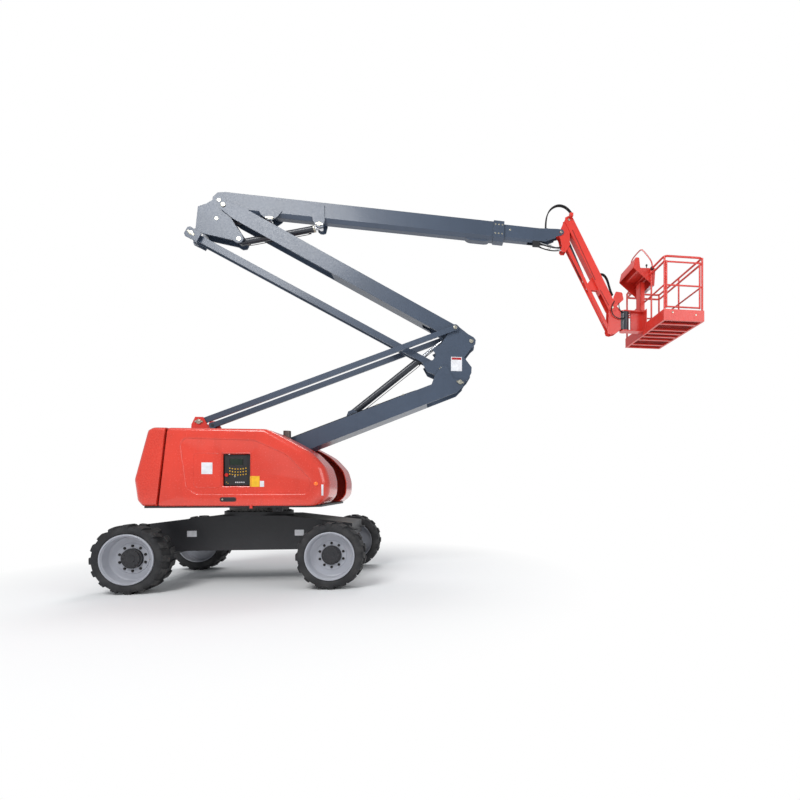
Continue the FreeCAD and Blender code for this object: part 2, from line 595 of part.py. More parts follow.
hole(mid, "-mid_length", 0, 33, "mid_outer + 10")
place(mid, mid_x, 0, mid_z, "-mid_angle")

tie = new_body("link_two")
both(tie, box("-mid_length - 62", 0, "-tie_half", "tie_half"), "tie_inner", "tie_outer")
both(tie, (0, 0, 72), "tie_inner", "tie_outer")
both(tie, (0, 0, 31), "tie_inner - 5", "tie_outer + 5", cut=True)
for x in (-1700, "900 - mid_length"):
    slab(tie, "XZ", (x, 0, 34), "-tie_outer + 4", "tie_outer - 4")
pin(tie, "-mid_length", 0, 30, "mid_outer")
cheek = [("-mid_length - 95", -60), ("-mid_length - 60", -95), ("150 - mid_length", -88),
         ("150 - mid_length", 74), ("-mid_length - 60", 95), ("-mid_length - 95", 60)]
both(tie, cheek, "mid_inner", "mid_outer")
place(tie, f"{mid_x} + tie_shift_x", 0, f"{mid_z} + tie_shift_z", "-mid_angle")

# Second knuckle, hung from the mid boom's upper end
head = new_body("knuckle_two")
plate = [(-430, -40), (-290, 20), (-190, 90), (-175, 150), (-110, 195), (-40, 195), (10, 150), (70, 60),
         (90, 0), (70, -130), (190, -330), (300, -490), (322, -560), (290, -620), (220, -635), (140, -590),
         (-420, -495), (-430, -560), (-480, -610), (-560, -612), (-610, -570), (-612, -490), (-570, -440),
         (-470, -430)]
both(head, plate, "head_inner", "head_outer")
slab(head, "XZ", box(-420, -400, -400, -60), "-head_inner", "head_inner")
for low, high in (("head_inner - 4", "mid_outer + 10"), ("-mid_outer - 10", "4 - head_inner")):
    slab(head, "XZ", (0, 0, 32), low, high)
pin(head, "main_shift_x", "main_shift_z", 32, "head_outer + 4")
pin(head, "lift_foot_x", "lift_foot_z", 25, "head_outer + 4")
pin(head, "level_foot_x", "level_foot_z", 18, "head_outer + 4")
hole(head, "tie_shift_x", "tie_shift_z", 31, "head_outer + 10")
place(head, head_x, 0, head_z)

# Main boom: bevelled section, side plates round its pivot, cylinder lugs and the collar
main = new_body("main_boom")


def section(grow):
    """Outline across a boom, inside or outside its plates by grow."""
    wide, up, down = f"(main_half_width + {grow})", f"(main_up + {grow})", f"(main_down + {grow})"
    return [(f"-{wide}", f"main_bevel - {down}"), (f"main_bevel * 0.8 - {wide}", f"-{down}"),
            (f"{wide} - main_bevel * 0.8", f"-{down}"), (wide, f"main_bevel - {down}"), (wide, up),
            (f"-{wide}", up)]


slab(main, "YZ", section(0), 330, "main_length")
slab(main, "YZ", section(16), "main_length - 200", "main_length")
slab(main, "YZ", section("-main_wall"), 320, "main_length + 10", cut=True)
slot = [(320, -46), (900, -46), (900, 46), (320, 46)]
slab(main, "XY", slot, "-main_down - 10", "20 - main_down", cut=True)
tail = [(-118, -50), (-118, 60), (-40, 150), (90, "main_up"), (430, "main_up"),
        (430, "main_bevel - main_down"), (120, -95), (0, -100)]
both(main, tail, "main_half_width - 20", "main_half_width")
hole(main, 0, 0, 33, "main_half_width + 10")
bracket = [(1560, 120), (1780, 120), (1800, -150), (1775, -270), (1730, -290), (1680, -290), (1640, -262),
           (1590, -160)]
both(main, bracket, "main_half_width - 3", "main_half_width + 16")
stubs(main, "lift_eye_x", "lift_eye_z", 24, "main_half_width", "main_half_width + 22")
bracket = [(640, -60), (1060, -60), (990, "-main_down"), (885, -250), (815, -250), (700, "-main_down")]
both(main, bracket, "main_half_width - 3", "main_half_width + 12")
stubs(main, "level_eye_x", "level_eye_z", 17, "main_half_width", "main_half_width + 18")
place(main, main_x, 0, main_z, "main_angle")

fly = new_body("fly_boom")


def fly_section(grow):
    wide, up, down = f"(fly_half_width + {grow})", f"(fly_up + {grow})", f"(fly_down + {grow})"
    return [(f"-{wide}", f"42 - {down}"), (f"34 - {wide}", f"-{down}"), (f"{wide} - 34", f"-{down}"),
            (wide, f"42 - {down}"), (wide, up), (f"-{wide}", up)]


slab(fly, "YZ", fly_section(0), "fly_start", "fly_end - 100")
slab(fly, "YZ", fly_section("-fly_wall"), "fly_start - 10", "fly_end - 90", cut=True)
opening = [("fly_end - 420", -76), ("fly_end - 80", -76), ("fly_end - 80", 76), ("fly_end - 420", 76)]
slab(fly, "XY", opening, "-fly_down - 10", 0, cut=True)
slot = [("fly_end - 640", -50), ("fly_end - 400", -50), ("fly_end - 400", 50), ("fly_end - 640", 50)]
slab(fly, "XY", slot, "-fly_down - 10", "12 - fly_down", cut=True)
slope = [("fly_end - 400", "-fly_down - 10"), ("fly_end - 60", "-fly_down - 10"), ("fly_end - 60", 16)]
slab(fly, "XZ", slope, "-fly_half_width - 5", "fly_half_width + 5", cut=True)
tip = [("fly_end - 420", "42 - fly_down"), ("fly_end - 400", "42 - fly_down"), ("fly_end - 160", 2),
       ("fly_end + 18", 66), ("fly_end + 52", 98), ("fly_end + 58", 140), ("fly_end + 34", 174),
       ("fly_end - 80", 176), ("fly_end - 420", "fly_up")]
both(fly, tip, "fly_half_width - 8", "fly_half_width")
hole(fly, "fly_end", "fly_pin_up", 26, "fly_half_width + 10")
pin(fly, "nose_foot_x", "nose_foot_z", 16, "fly_half_width - 2")
place(fly, main_x, 0, main_z, "main_angle")

# Jib head, levelled at the fly boom's end
nose = new_body("jib_head")
plate = [(-62, -20), (-50, 40), (0, 62), (80, 250), (115, 300), (170, 310), (215, 280), (222, 210), (180, 0),
         (180, -230), (150, -280), (100, -365), (30, -370), (0, -330), (20, -250), (-10, -120)]
both(nose, plate, "nose_inner", "nose_outer")
pin(nose, 0, 0, 25, "fly_half_width + 8")
pin(nose, "jib_top_x", "jib_top_z", 25, "jib_half_width + 8")
for low, high in (("jib_link_inner - 2", "nose_inner + 4"), ("-nose_inner - 4", "2 - jib_link_inner")):
    slab(nose, "XZ", ("jib_top_x + jib_link_x", "jib_top_z + jib_link_z", 22), low, high)
stubs(nose, "nose_eye_x", "nose_eye_z", 18, "nose_inner + 2", "nose_outer + 3")
pin(nose, "jib_foot_x", "jib_foot_z", 20, "nose_outer - 2")
place(nose, nose_x, 0, nose_z)

jib = new_body("jib_tube")
shape = [(0, "-jib_half"), ("jib_length", "-jib_half"), ("jib_length + 70", -50), ("jib_length + 70", 50),
         ("jib_length", "jib_half"), (0, "jib_half"), (-70, 50), (-70, -50)]
both(jib, shape, "jib_half_width - 9", "jib_half_width")
for start, stop, low, high in ((265, "jib_length - 335", "-jib_half", "8 - jib_half"),
                               (90, "jib_length - 90", "jib_half - 8", "jib_half")):
    slab(jib, "XZ", box(start, stop, low, high), "9 - jib_half_width", "jib_half_width - 9")
hole(jib, 0, 0, 26, "jib_half_width + 10")
hole(jib, "jib_length", 0, 26, "jib_half_width + 10")
ear = [("jib_eye_x - 140", "4 - jib_half"), ("jib_eye_x + 140", "4 - jib_half"),
       ("jib_eye_x + 34", "jib_eye_z - 30"), ("jib_eye_x - 34", "jib_eye_z - 30")]
both(jib, ear, 24, 38)
stubs(jib, "jib_eye_x", "jib_eye_z", 17, 28, 43)
place(jib, jib_x, 0, jib_z, "jib_angle")

bar = new_body("jib_link")
both(bar, box(0, "jib_length", -32, 32), "jib_link_inner", "jib_link_outer")
for x in (0, "jib_length"):
    both(bar, (x, 0, 44), "jib_link_inner", "jib_link_outer")
    both(bar, (x, 0, 23), "jib_link_inner - 5", "jib_link_outer + 5", cut=True)
place(bar, f"{jib_x} + jib_link_x", 0, f"{jib_z} + jib_link_z", "jib_angle")

end = new_body("jib_end")
plate = [(-50, 50), (0, 66), (60, 50), (125, 10), ("pivot_x - 98", -60), ("pivot_x - 98", -420), (80, -500),
         (-20, -530), (-80, -515), (-100, -460), (-75, -300), (-66, 0)]
both(end, plate, "nose_inner", "nose_outer")
slab(end, "XZ", box("pivot_x - 122", "pivot_x - 98", -425, -55), "-nose_outer", "nose_outer")
pin(end, 0, 0, 25, "jib_half_width + 8")
pin(end, "jib_link_x", "jib_link_z", 22, "nose_outer - 2")
place(end, end_x, 0, end_z)

rotator = new_body("rotator")
slab(rotator, "XY", ("pivot_x", 0, 88), "-418", "-62")
slab(rotator, "XZ", box("pivot_x - 98", "pivot_x - 20", -405, -75), -66, 66)
place(rotator, end_x, 0, end_z)

# Work platform: its own origin is on the turning axis at floor level
support = new_body("platform_support")
slab(support, "XY", (0, 0, 92), -4, 16)
slab(support, "XY", (0, 0, 92), 384, 404)
for low, high in ((-4, 16), (384, 404)):
    slab(support, "XY", [(0, -80), ("floor_gap", -80), ("floor_gap", 80), (0, 80)], low, high)
slab(support, "XZ", box(130, "floor_gap", 10, 390), -16, 16)
slab(support, "YZ", [(-180, -70), (180, -70), (180, 404), (-180, 404)], "floor_gap - 14", "floor_gap")
place(support, cage_x, 0, cage_z)


def cage_box(x0, x1, y0, y1):
    """Corners of a level rectangle in the platform's frame."""
    return [(f"floor_gap + {x}", y) for x, y in ((x0, y0), (x1, y0), (x1, y1), (x0, y1))]


floor = new_body("platform_floor")
slab(floor, "XY", cage_box(0, "cage_depth", "-cage_length / 2", "cage_length / 2"), -50, "toe_height")
slab(floor, "XY", cage_box(5, "cage_depth - 5", "5 - cage_length / 2", "cage_length / 2 - 5"), 0,
     "toe_height + 10", cut=True)
slab(floor, "XY", cage_box(40, "cage_depth - 40", "40 - cage_length / 2", "cage_length / 2 - 40"), -60, -8,
     cut=True)
for y in (-300, 300):
    slab(floor, "XY", cage_box(36, "cage_depth - 36", f"{y} - 25", f"{y} + 25"), -50, -6)
place(floor, cage_x, 0, cage_z)


def bar_of(body, plane, a, b, radius, low, high):
    """Straight tube of the rails, drawn with eight flats."""
    flats = [(f"{a} + {u}", f"{b} + {v}") for u, v in sided(radius, 8)]
    slab(body, plane, flats, low, high)


rails = new_body("platform_rails")
low_x, high_x = "floor_gap + 26", "floor_gap + cage_depth - 26"
low_y, high_y = "26 - cage_length / 2", "cage_length / 2 - 26"
for x in (low_x, high_x):
    for y in (low_y, high_y):
        bar_of(rails, "XY", x, y, "tube_radius - 1", 0, "cage_height + 12")
    middle = "console_near - 40" if x == low_x else 0
    bar_of(rails, "XY", x, middle, "tube_radius - 3", 0, "cage_height + 8")
    for level, radius in (("cage_height", "tube_radius"), ("cage_height - 95", "tube_radius"),
                          (600, "tube_radius - 4")):
        bar_of(rails, "XZ", x, level, radius, f"{low_y} - 14", f"{high_y} + 14")
# Rails along the boom: side, level, radius
for y, level, radius in ((high_y, "cage_height", "tube_radius - 2"),
                         (high_y, "cage_height - 95", "tube_radius - 2"),
                         (high_y, 600, "tube_radius - 5"), (low_y, "cage_height", "tube_radius - 2")):
    bar_of(rails, "YZ", y, level, radius, f"{low_x} - 10", f"{high_x} + 10")
place(rails, cage_x, 0, cage_z)

gate = new_body("gate")
gate_y = "34 - cage_length / 2"
for x in ("68", "cage_depth - 70"):
    slab(gate, "XY", (f"floor_gap + {x}", gate_y, "tube_radius - 4"), 190, "cage_height - 79")
for level in ("cage_height - 95", 600, 206):
    bar_of(gate, "YZ", gate_y, level, "tube_radius - 5", "floor_gap + 68", "floor_gap + cage_depth - 70")
place(gate, cage_x, 0, cage_z)

# Console: a tilted tray with a taller back, seated on the two upper rails
console = new_body("console")
shape = [(-320, 1150), (-275, 1350), (-200, 1350), (-180, 1152), (130, 1162), (105, 810)]
slab(console, "XZ", [(f"floor_gap + {x}", z) for x, z in shape], "console_near", "console_far")
for level in ("cage_height", "cage_height - 95"):
    groove = [(f"{low_x} + {u}", f"{level} + {v}") for u, v in sided("tube_radius + 0.2", 8)]
    slab(console, "XZ", groove, "console_near - 10", "console_far + 10", cut=True)
place(console, cage_x, 0, cage_z)


def cylinder(name, foot, eye, bore, rod, short, width, foot_pin, eye_pin, reach_out):
    """Hydraulic barrel and rod from a foot pin to an eye; short is the length with the rod in.

    The rod keeps the middle of its eye's pin, of radius eye_pin, out to reach_out on either side.
    """
    dx, dz = f"({eye[0]} - {foot[0]})", f"({eye[1]} - {foot[1]})"
    reach = f"sqrt(({dx}) ^ 2 + ({dz}) ^ 2)"
    barrel = new_body(name + "_barrel")
    slab(barrel, "YZ", (0, 0, bore), 0, short - 80)
    slab(barrel, "XZ", (0, 0, f"{bore} * 0.9"), -width, width)
    slab(barrel, "YZ", (0, 0, f"{bore} + 4"), short - 150, short - 80)
    slab(barrel, "YZ", (0, 0, f"{rod} + 1"), f"{bore} + 10", short, cut=True)
    slab(barrel, "XZ", (0, 0, foot_pin), -width - 20, width + 20, cut=True)
    stem = new_body(name + "_rod")
    slab(stem, "YZ", (0, 0, rod), f"{reach} - {short} + {bore} + 20", reach)
    slab(stem, "XZ", (reach, 0, f"{rod} * 1.35"), -width, width)
    slab(stem, "XZ", (reach, 0, eye_pin), f"-({reach_out})", reach_out)
    for piece in (barrel, stem):
        place(piece, foot[0], 0, foot[1], f"atan2({dz}; {dx})")


# Cylinders: foot, eye, bore, rod, closed length, half width, foot pin's hole, eye's pin and its reach
cylinder("riser", along("riser_pivot_x", "riser_pivot_z", "lower_angle", "riser_foot_x", "riser_foot_z"),
         along(mid_x, mid_z, "-mid_angle", "riser_eye_x", "riser_eye_z"),
         "riser_bore", "riser_rod", 1740, 48, 25, 22, 61)
cylinder("lift", (f"({head_x} + lift_foot_x)", f"({head_z} + lift_foot_z)"),
         along(main_x, main_z, "main_angle", "lift_eye_x", "lift_eye_z"),
         "lift_bore", "lift_rod", 1390, 40, 26, 24, "main_half_width - 9")
cylinder("level", (f"({head_x} + level_foot_x)", f"({head_z} + level_foot_z)"),
         along(main_x, main_z, "main_angle", "level_eye_x", "level_eye_z"),
         "level_bore", "level_rod", 860, 24, 19, 17, "main_half_width - 9")
cylinder("nose", along(main_x, main_z, "main_angle", "nose_foot_x", "nose_foot_z"),
         (f"({nose_x} + nose_eye_x)", f"({nose_z} + nose_eye_z)"),
         "level_bore", "level_rod", 700, 24, 17, 17, "nose_inner - 5")
cylinder("jib", (f"({nose_x} + jib_foot_x)", f"({nose_z} + jib_foot_z)"),
         along(jib_x, jib_z, "jib_angle", "jib_eye_x", "jib_eye_z"),
         "jib_bore", "jib_rod", 1010, 20, 21, 17, 21)

# Every piece is checked before any file is written
doc.recompute()
faults = [f"{o.Name} {o.State}" for o in doc.Objects if "Invalid" in o.State or "Error" in o.State]
for label, body in parts.items():
    shape = body.Shape
    if shape.isNull() or not shape.isValid() or not shape.Solids or shape.Volume <= 0:
        faults.append(f"{label}: no valid solid")
if faults:
    raise RuntimeError("; ".join(faults))
os.makedirs("parts", exist_ok=True)
for label, body in parts.items():
    body.Shape.exportStep(f"parts/{label}.step")
    print(label, len(body.Shape.Solids), "solids", round(body.Shape.Volume / 1e6, 2), "litres")
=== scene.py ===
# %% [markdown]
# # An articulating boom lift, dressed for a picture
# The machine arrives as a fixed model: steel pieces that already have their size and place.
# This lesson gives them paint, rubber, chrome and dust, and adds what a designer leaves out:
# tread, bolts, lamps, hoses and labels. Lengths are metres. +X points from the turntable to the
# work platform, the near side of the machine is -Y, and +Z is up.

# %% Load the model
import json
import math
import bmesh
import bpy
import numpy as np
from mathutils import Matrix


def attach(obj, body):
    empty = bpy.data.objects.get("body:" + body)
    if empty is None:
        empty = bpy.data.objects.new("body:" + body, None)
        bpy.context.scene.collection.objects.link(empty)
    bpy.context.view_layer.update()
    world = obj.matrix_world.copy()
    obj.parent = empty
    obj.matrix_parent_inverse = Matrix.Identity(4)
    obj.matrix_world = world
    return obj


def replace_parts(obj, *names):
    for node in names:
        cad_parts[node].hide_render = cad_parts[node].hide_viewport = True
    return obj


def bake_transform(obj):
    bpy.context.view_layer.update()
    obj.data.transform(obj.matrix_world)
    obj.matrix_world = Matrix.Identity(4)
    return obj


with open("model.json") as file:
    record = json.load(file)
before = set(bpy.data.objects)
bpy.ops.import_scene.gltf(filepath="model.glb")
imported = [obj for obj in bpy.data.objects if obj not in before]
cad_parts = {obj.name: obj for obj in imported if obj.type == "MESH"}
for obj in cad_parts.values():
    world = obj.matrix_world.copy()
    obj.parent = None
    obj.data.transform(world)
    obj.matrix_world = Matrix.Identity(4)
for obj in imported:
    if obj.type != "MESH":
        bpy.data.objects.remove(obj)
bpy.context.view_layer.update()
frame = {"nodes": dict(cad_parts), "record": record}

record = frame["record"]

# %% [markdown]
# ## Where the pins are
# Every joint of the machine has a pin, and the record says where. A boom is the line between two
# pins, so it has its own frame: `u` runs along the boom and `w` stands across it. Details are placed
# in that frame, which keeps them on the boom whatever its angle is.

# %% Pins and boom frames
JOINTS = {joint["name"]: joint for joint in record["behaviour"]["joints"]}


def pin_of(joint):
    """Place of a joint's pin as an array."""
    return np.array(JOINTS[joint]["pos_m"], float)


class Boom:
    """Frame of a boom: start is its first pin, direction is the way it runs."""

    def __init__(self, start, direction):
        self.start = start
        self.along = direction / np.linalg.norm(direction)
        self.up = np.array([-self.along[2], 0, self.along[0]])

    def at(self, u, y, w):
        """Point at u along the boom, y across the machine and w above the line of the pins."""
        u, y, w = np.broadcast_arrays(np.asarray(u, float), y, w)
        side = np.array([0, 1.0, 0])
        return self.start + u[..., None] * self.along + y[..., None] * side + w[..., None] * self.up


riser_pin = pin_of("riser_lift")
knee_pin = pin_of("knuckle_one_turn")
mid_pin = pin_of("mid_boom_turn")
head_pin = pin_of("knuckle_two_turn")
main_pin = pin_of("main_lift")
nose_pin = pin_of("jib_head_turn")
jib_pin = pin_of("jib_lift")
end_pin = pin_of("jib_end_turn")
cage_pin = pin_of("platform_turn")
link_pin = pin_of("link_one_turn")
tie_pin = pin_of("link_two_turn")
lower = Boom(riser_pin, knee_pin - riser_pin)
main = Boom(main_pin, np.array(JOINTS["fly_slide"]["axis"], float))
jib = Boom(jib_pin, end_pin - jib_pin)
level = np.array([1.0, 0, 0])
print("lower boom", round(float(np.linalg.norm(knee_pin - riser_pin)), 3), "m between its pins")

# %% [markdown]
# ## Surfaces from numbers
# Each new piece is a surface over a grid of two parameters, or a profile carried along a path. A
# shape here is three arrays: the points, the corners of all faces in one row, and how many corners
# each face has. Arrays make a thousand bolts as quick as one.

# %% Shapes
def grid(points, wrap_u=False, wrap_v=False, caps=False):
    """Quads over points[u, v]; a wrap joins the last line to the first, caps close both ends of u."""
    rows, columns = points.shape[:2]
    i = np.arange(rows if wrap_u else rows - 1)[:, None]
    j = np.arange(columns if wrap_v else columns - 1)[None, :]
    i_next, j_next = (i + 1) % rows, (j + 1) % columns
    corners = [i * columns + j, i * columns + j_next, i_next * columns + j_next, i_next * columns + j]
    quads = np.stack(np.broadcast_arrays(*corners), axis=-1).reshape(-1, 4)
    loops, sizes = quads.ravel(), np.full(len(quads), 4)
    if caps:
        first = np.arange(columns)[::-1]
        last = (rows - 1) * columns + np.arange(columns)
        loops = np.concatenate([loops, first, last])
        sizes = np.concatenate([sizes, [columns, columns]])
    return points.reshape(-1, 3), loops, sizes


def join(*shapes):
    """Several shapes as one."""
    starts = np.cumsum([0] + [len(s[0]) for s in shapes[:-1]])
    loops = [s[1] + start for s, start in zip(shapes, starts)]
    return (np.concatenate([s[0] for s in shapes]), np.concatenate(loops),
            np.concatenate([s[2] for s in shapes]))


def axes(direction):
    """Three unit vectors, the last along the direction."""
    w = np.asarray(direction, float) / np.linalg.norm(direction)
    guide = np.array([0, 1.0, 0]) if abs(w[1]) < 0.9 else np.array([1.0, 0, 0])
    u = np.cross(guide, w)
    u = u / np.linalg.norm(u)
    return np.stack([u, np.cross(w, u), w])


def lathe(profile, centre, direction, sides=48, closed=False):
    """A profile of (radius, height) turned round an axis: centre + r cos a U + r sin a V + h W."""
    turn = np.linspace(0, 2 * math.pi, sides, endpoint=False)
    u, v, w = axes(direction)
    profile = np.asarray(profile, float)
    round_it = np.cos(turn)[:, None] * u + np.sin(turn)[:, None] * v
    points = profile[:, 0, None, None] * round_it + profile[:, 1, None, None] * w + np.asarray(centre)
    return grid(points, wrap_u=closed, wrap_v=True)


def tube(path, radius, side=(0, 1, 0), sides=12, closed=False):
    """A circle carried along a path; side is a direction that the path never takes."""
    path = np.asarray(path, float)
    along = np.roll(path, -1, axis=0) - np.roll(path, 1, axis=0) if closed else np.gradient(path, axis=0)
    along /= np.linalg.norm(along, axis=1)[:, None]
    n = np.cross(side, along)
    n /= np.linalg.norm(n, axis=1)[:, None]
    b = np.cross(along, n)
    turn = np.linspace(0, 2 * math.pi, sides, endpoint=False)
    size = np.broadcast_to(radius, len(path))[:, None, None]
    ring = np.cos(turn)[None, :, None] * n[:, None] + np.sin(turn)[None, :, None] * b[:, None]
    return grid(path[:, None] + size * ring, wrap_u=closed, wrap_v=True, caps=not closed)


def bend(points, steps=8):
    """Smooth line that starts and ends at the first and last point: a uniform cubic B-spline."""
    p = np.asarray(points, float)
    p = np.concatenate([[2 * p[0] - p[1]], p, [2 * p[-1] - p[-2]]])
    t = np.linspace(0, 1, steps, endpoint=False)[:, None, None]
    a, b, c, d = p[:-3], p[1:-2], p[2:-1], p[3:]
    spans = ((1 - t) ** 3 * a + (3 * t ** 3 - 6 * t ** 2 + 4) * b
             + (-3 * t ** 3 + 3 * t ** 2 + 3 * t + 1) * c + t ** 3 * d) / 6
    return np.concatenate([spans.transpose(1, 0, 2).reshape(-1, 3), p[-2][None]])


def rounded(corners, radius, steps=4):
    """Outline with its corners rounded: each corner P becomes the curve (1-t)^2 A + 2t(1-t) P + t^2 B."""
    p = np.asarray(corners, float)
    back, ahead = np.roll(p, 1, axis=0) - p, np.roll(p, -1, axis=0) - p
    length_back = np.linalg.norm(back, axis=1)[:, None]
    length_ahead = np.linalg.norm(ahead, axis=1)[:, None]
    reach = np.minimum(np.broadcast_to(radius, len(p))[:, None],
                       0.49 * np.minimum(length_back, length_ahead))
    a, b = p + back / length_back * reach, p + ahead / length_ahead * reach
    t = np.linspace(0, 1, steps + 1)[None, :, None]
    return ((1 - t) ** 2 * a[:, None] + 2 * t * (1 - t) * p[:, None] + t ** 2 * b[:, None]).reshape(-1, 2)


def inset(outline, depth):
    """Outline moved inwards by depth, each point along the bisector of its two edges."""
    p = outline
    before, after = p - np.roll(p, 1, axis=0), np.roll(p, -1, axis=0) - p
    before = before / (np.linalg.norm(before, axis=1)[:, None] + 1e-12)
    after = after / (np.linalg.norm(after, axis=1)[:, None] + 1e-12)
    area = np.sum(p[:, 0] * np.roll(p[:, 1], -1) - p[:, 1] * np.roll(p[:, 0], -1))
    inward = np.stack([-(before + after)[:, 1], (before + after)[:, 0]], axis=1) * math.copysign(1, area)
    inward /= np.linalg.norm(inward, axis=1)[:, None] + 1e-12
    return p + inward * depth


def plate(outline, low, high, boom=None, edge=0.002):
    """Plate with eased edges: an outline of (u, w) in a boom's frame, from y = low to y = high."""
    outline = np.asarray(outline, float)
    small = inset(outline, edge)
    rings = [(small, low), (outline, low + edge), (outline, high - edge), (small, high)]
    place = (boom or Boom(np.zeros(3), level)).at
    return grid(np.stack([place(ring[:, 0], y, ring[:, 1]) for ring, y in rings]), wrap_v=True, caps=True)


def block(low, high, edge=0.003):
    """Box with eased edges between two corners."""
    (x0, y0, z0), (x1, y1, z1) = low, high
    outline = rounded([(x0, z0), (x1, z0), (x1, z1), (x0, z1)], edge, 2)
    return plate(outline, y0, y1, edge=edge)


def scatter(shape, spots, direction=(0, 0, 1)):
    """Copies of a shape that was made along +Z, turned to a direction, one at each spot."""
    spots = np.asarray(spots, float).reshape(-1, 3)
    points = (shape[0] @ axes(direction))[None] + spots[:, None]
    shift = np.arange(len(spots))[:, None] * len(shape[0])
    return points.reshape(-1, 3), (shape[1][None] + shift).ravel(), np.tile(shape[2], len(spots))


def bolt(radius, height):
    """Hexagon head on a washer: a six-sided profile on a round one."""
    washer = lathe([(0, 0), (radius * 1.45, 0), (radius * 1.45, height * 0.22), (0, height * 0.22)],
                   (0, 0, 0), (0, 0, 1), 14)
    head_profile = [(0, height * 0.2), (radius, height * 0.2), (radius, height * 0.85),
                    (radius * 0.86, height), (0, height)]
    return join(washer, lathe(head_profile, (0, 0, 0), (0, 0, 1), 6))


def circle_of(centre, radius, count, direction, phase=0.0):
    """Evenly spaced points round a circle."""
    turn = phase + np.arange(count) * 2 * math.pi / count
    u, v, _ = axes(direction)
    return np.asarray(centre) + radius * (np.cos(turn)[:, None] * u + np.sin(turn)[:, None] * v)


# %% [markdown]
# ## From a shape to a piece
# A piece is an object whose mesh already holds its place, so the object itself stays at the origin.
# Points that coincide are merged and the faces are turned outwards. Flat neighbours shade smoothly,
# and an edge sharper than the given angle stays crisp.

# %% Pieces
made = {}


def piece(name, shape, body, material, sharp=32, recalculate=True, values=None):
    """Mesh object of a shape, on a body, in a material; values is a number for each point."""
    points, loops, sizes = shape
    mesh = bpy.data.meshes.new(name)
    mesh.vertices.add(len(points))
    mesh.vertices.foreach_set("co", points.astype(np.float32).ravel())
    mesh.loops.add(len(loops))
    mesh.loops.foreach_set("vertex_index", loops.astype(np.int32))
    mesh.polygons.add(len(sizes))
    starts = np.concatenate([[0], np.cumsum(sizes)[:-1]])
    mesh.polygons.foreach_set("loop_start", starts.astype(np.int32))
    mesh.update(calc_edges=True)
    if values is not None:
        mesh.attributes.new("tread", "FLOAT", "POINT").data.foreach_set("value", values.astype(np.float32))
    work = bmesh.new()
    work.from_mesh(mesh)
    bmesh.ops.remove_doubles(work, verts=work.verts, dist=2e-5)
    if recalculate:
        bmesh.ops.recalc_face_normals(work, faces=work.faces)
    work.to_mesh(mesh)
    work.free()
    mesh.shade_smooth()
    mesh.set_sharp_from_angle(angle=math.radians(sharp))
    mesh.materials.append(material)
    obj = bpy.data.objects.new(name, mesh)
    bpy.context.scene.collection.objects.link(obj)
    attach(obj, body)
    made[name] = len(mesh.polygons)
    return obj


# %% [markdown]
# ## Finishes
# A painted steel surface is never one flat colour. Here it is built in layers: the paint, a slow
# drift of its shade, dust where a face looks up, dull streaks that run down, and bare edges where the
# paint is knocked off. The edges come from a Bevel node: where the rounded normal differs from the
# true one, there is an edge. The same node rounds the look of every plate edge. All patterns use
# Object coordinates, so they stay on the piece when it moves.

# %% Node helpers
def linear(red, green, blue):
    """Linear colour of an sRGB one given from 0 to 255."""
    c = np.array([red, green, blue]) / 255
    return tuple(np.where(c <= 0.04045, c / 12.92, ((c + 0.055) / 1.055) ** 2.4)) + (1.0,)


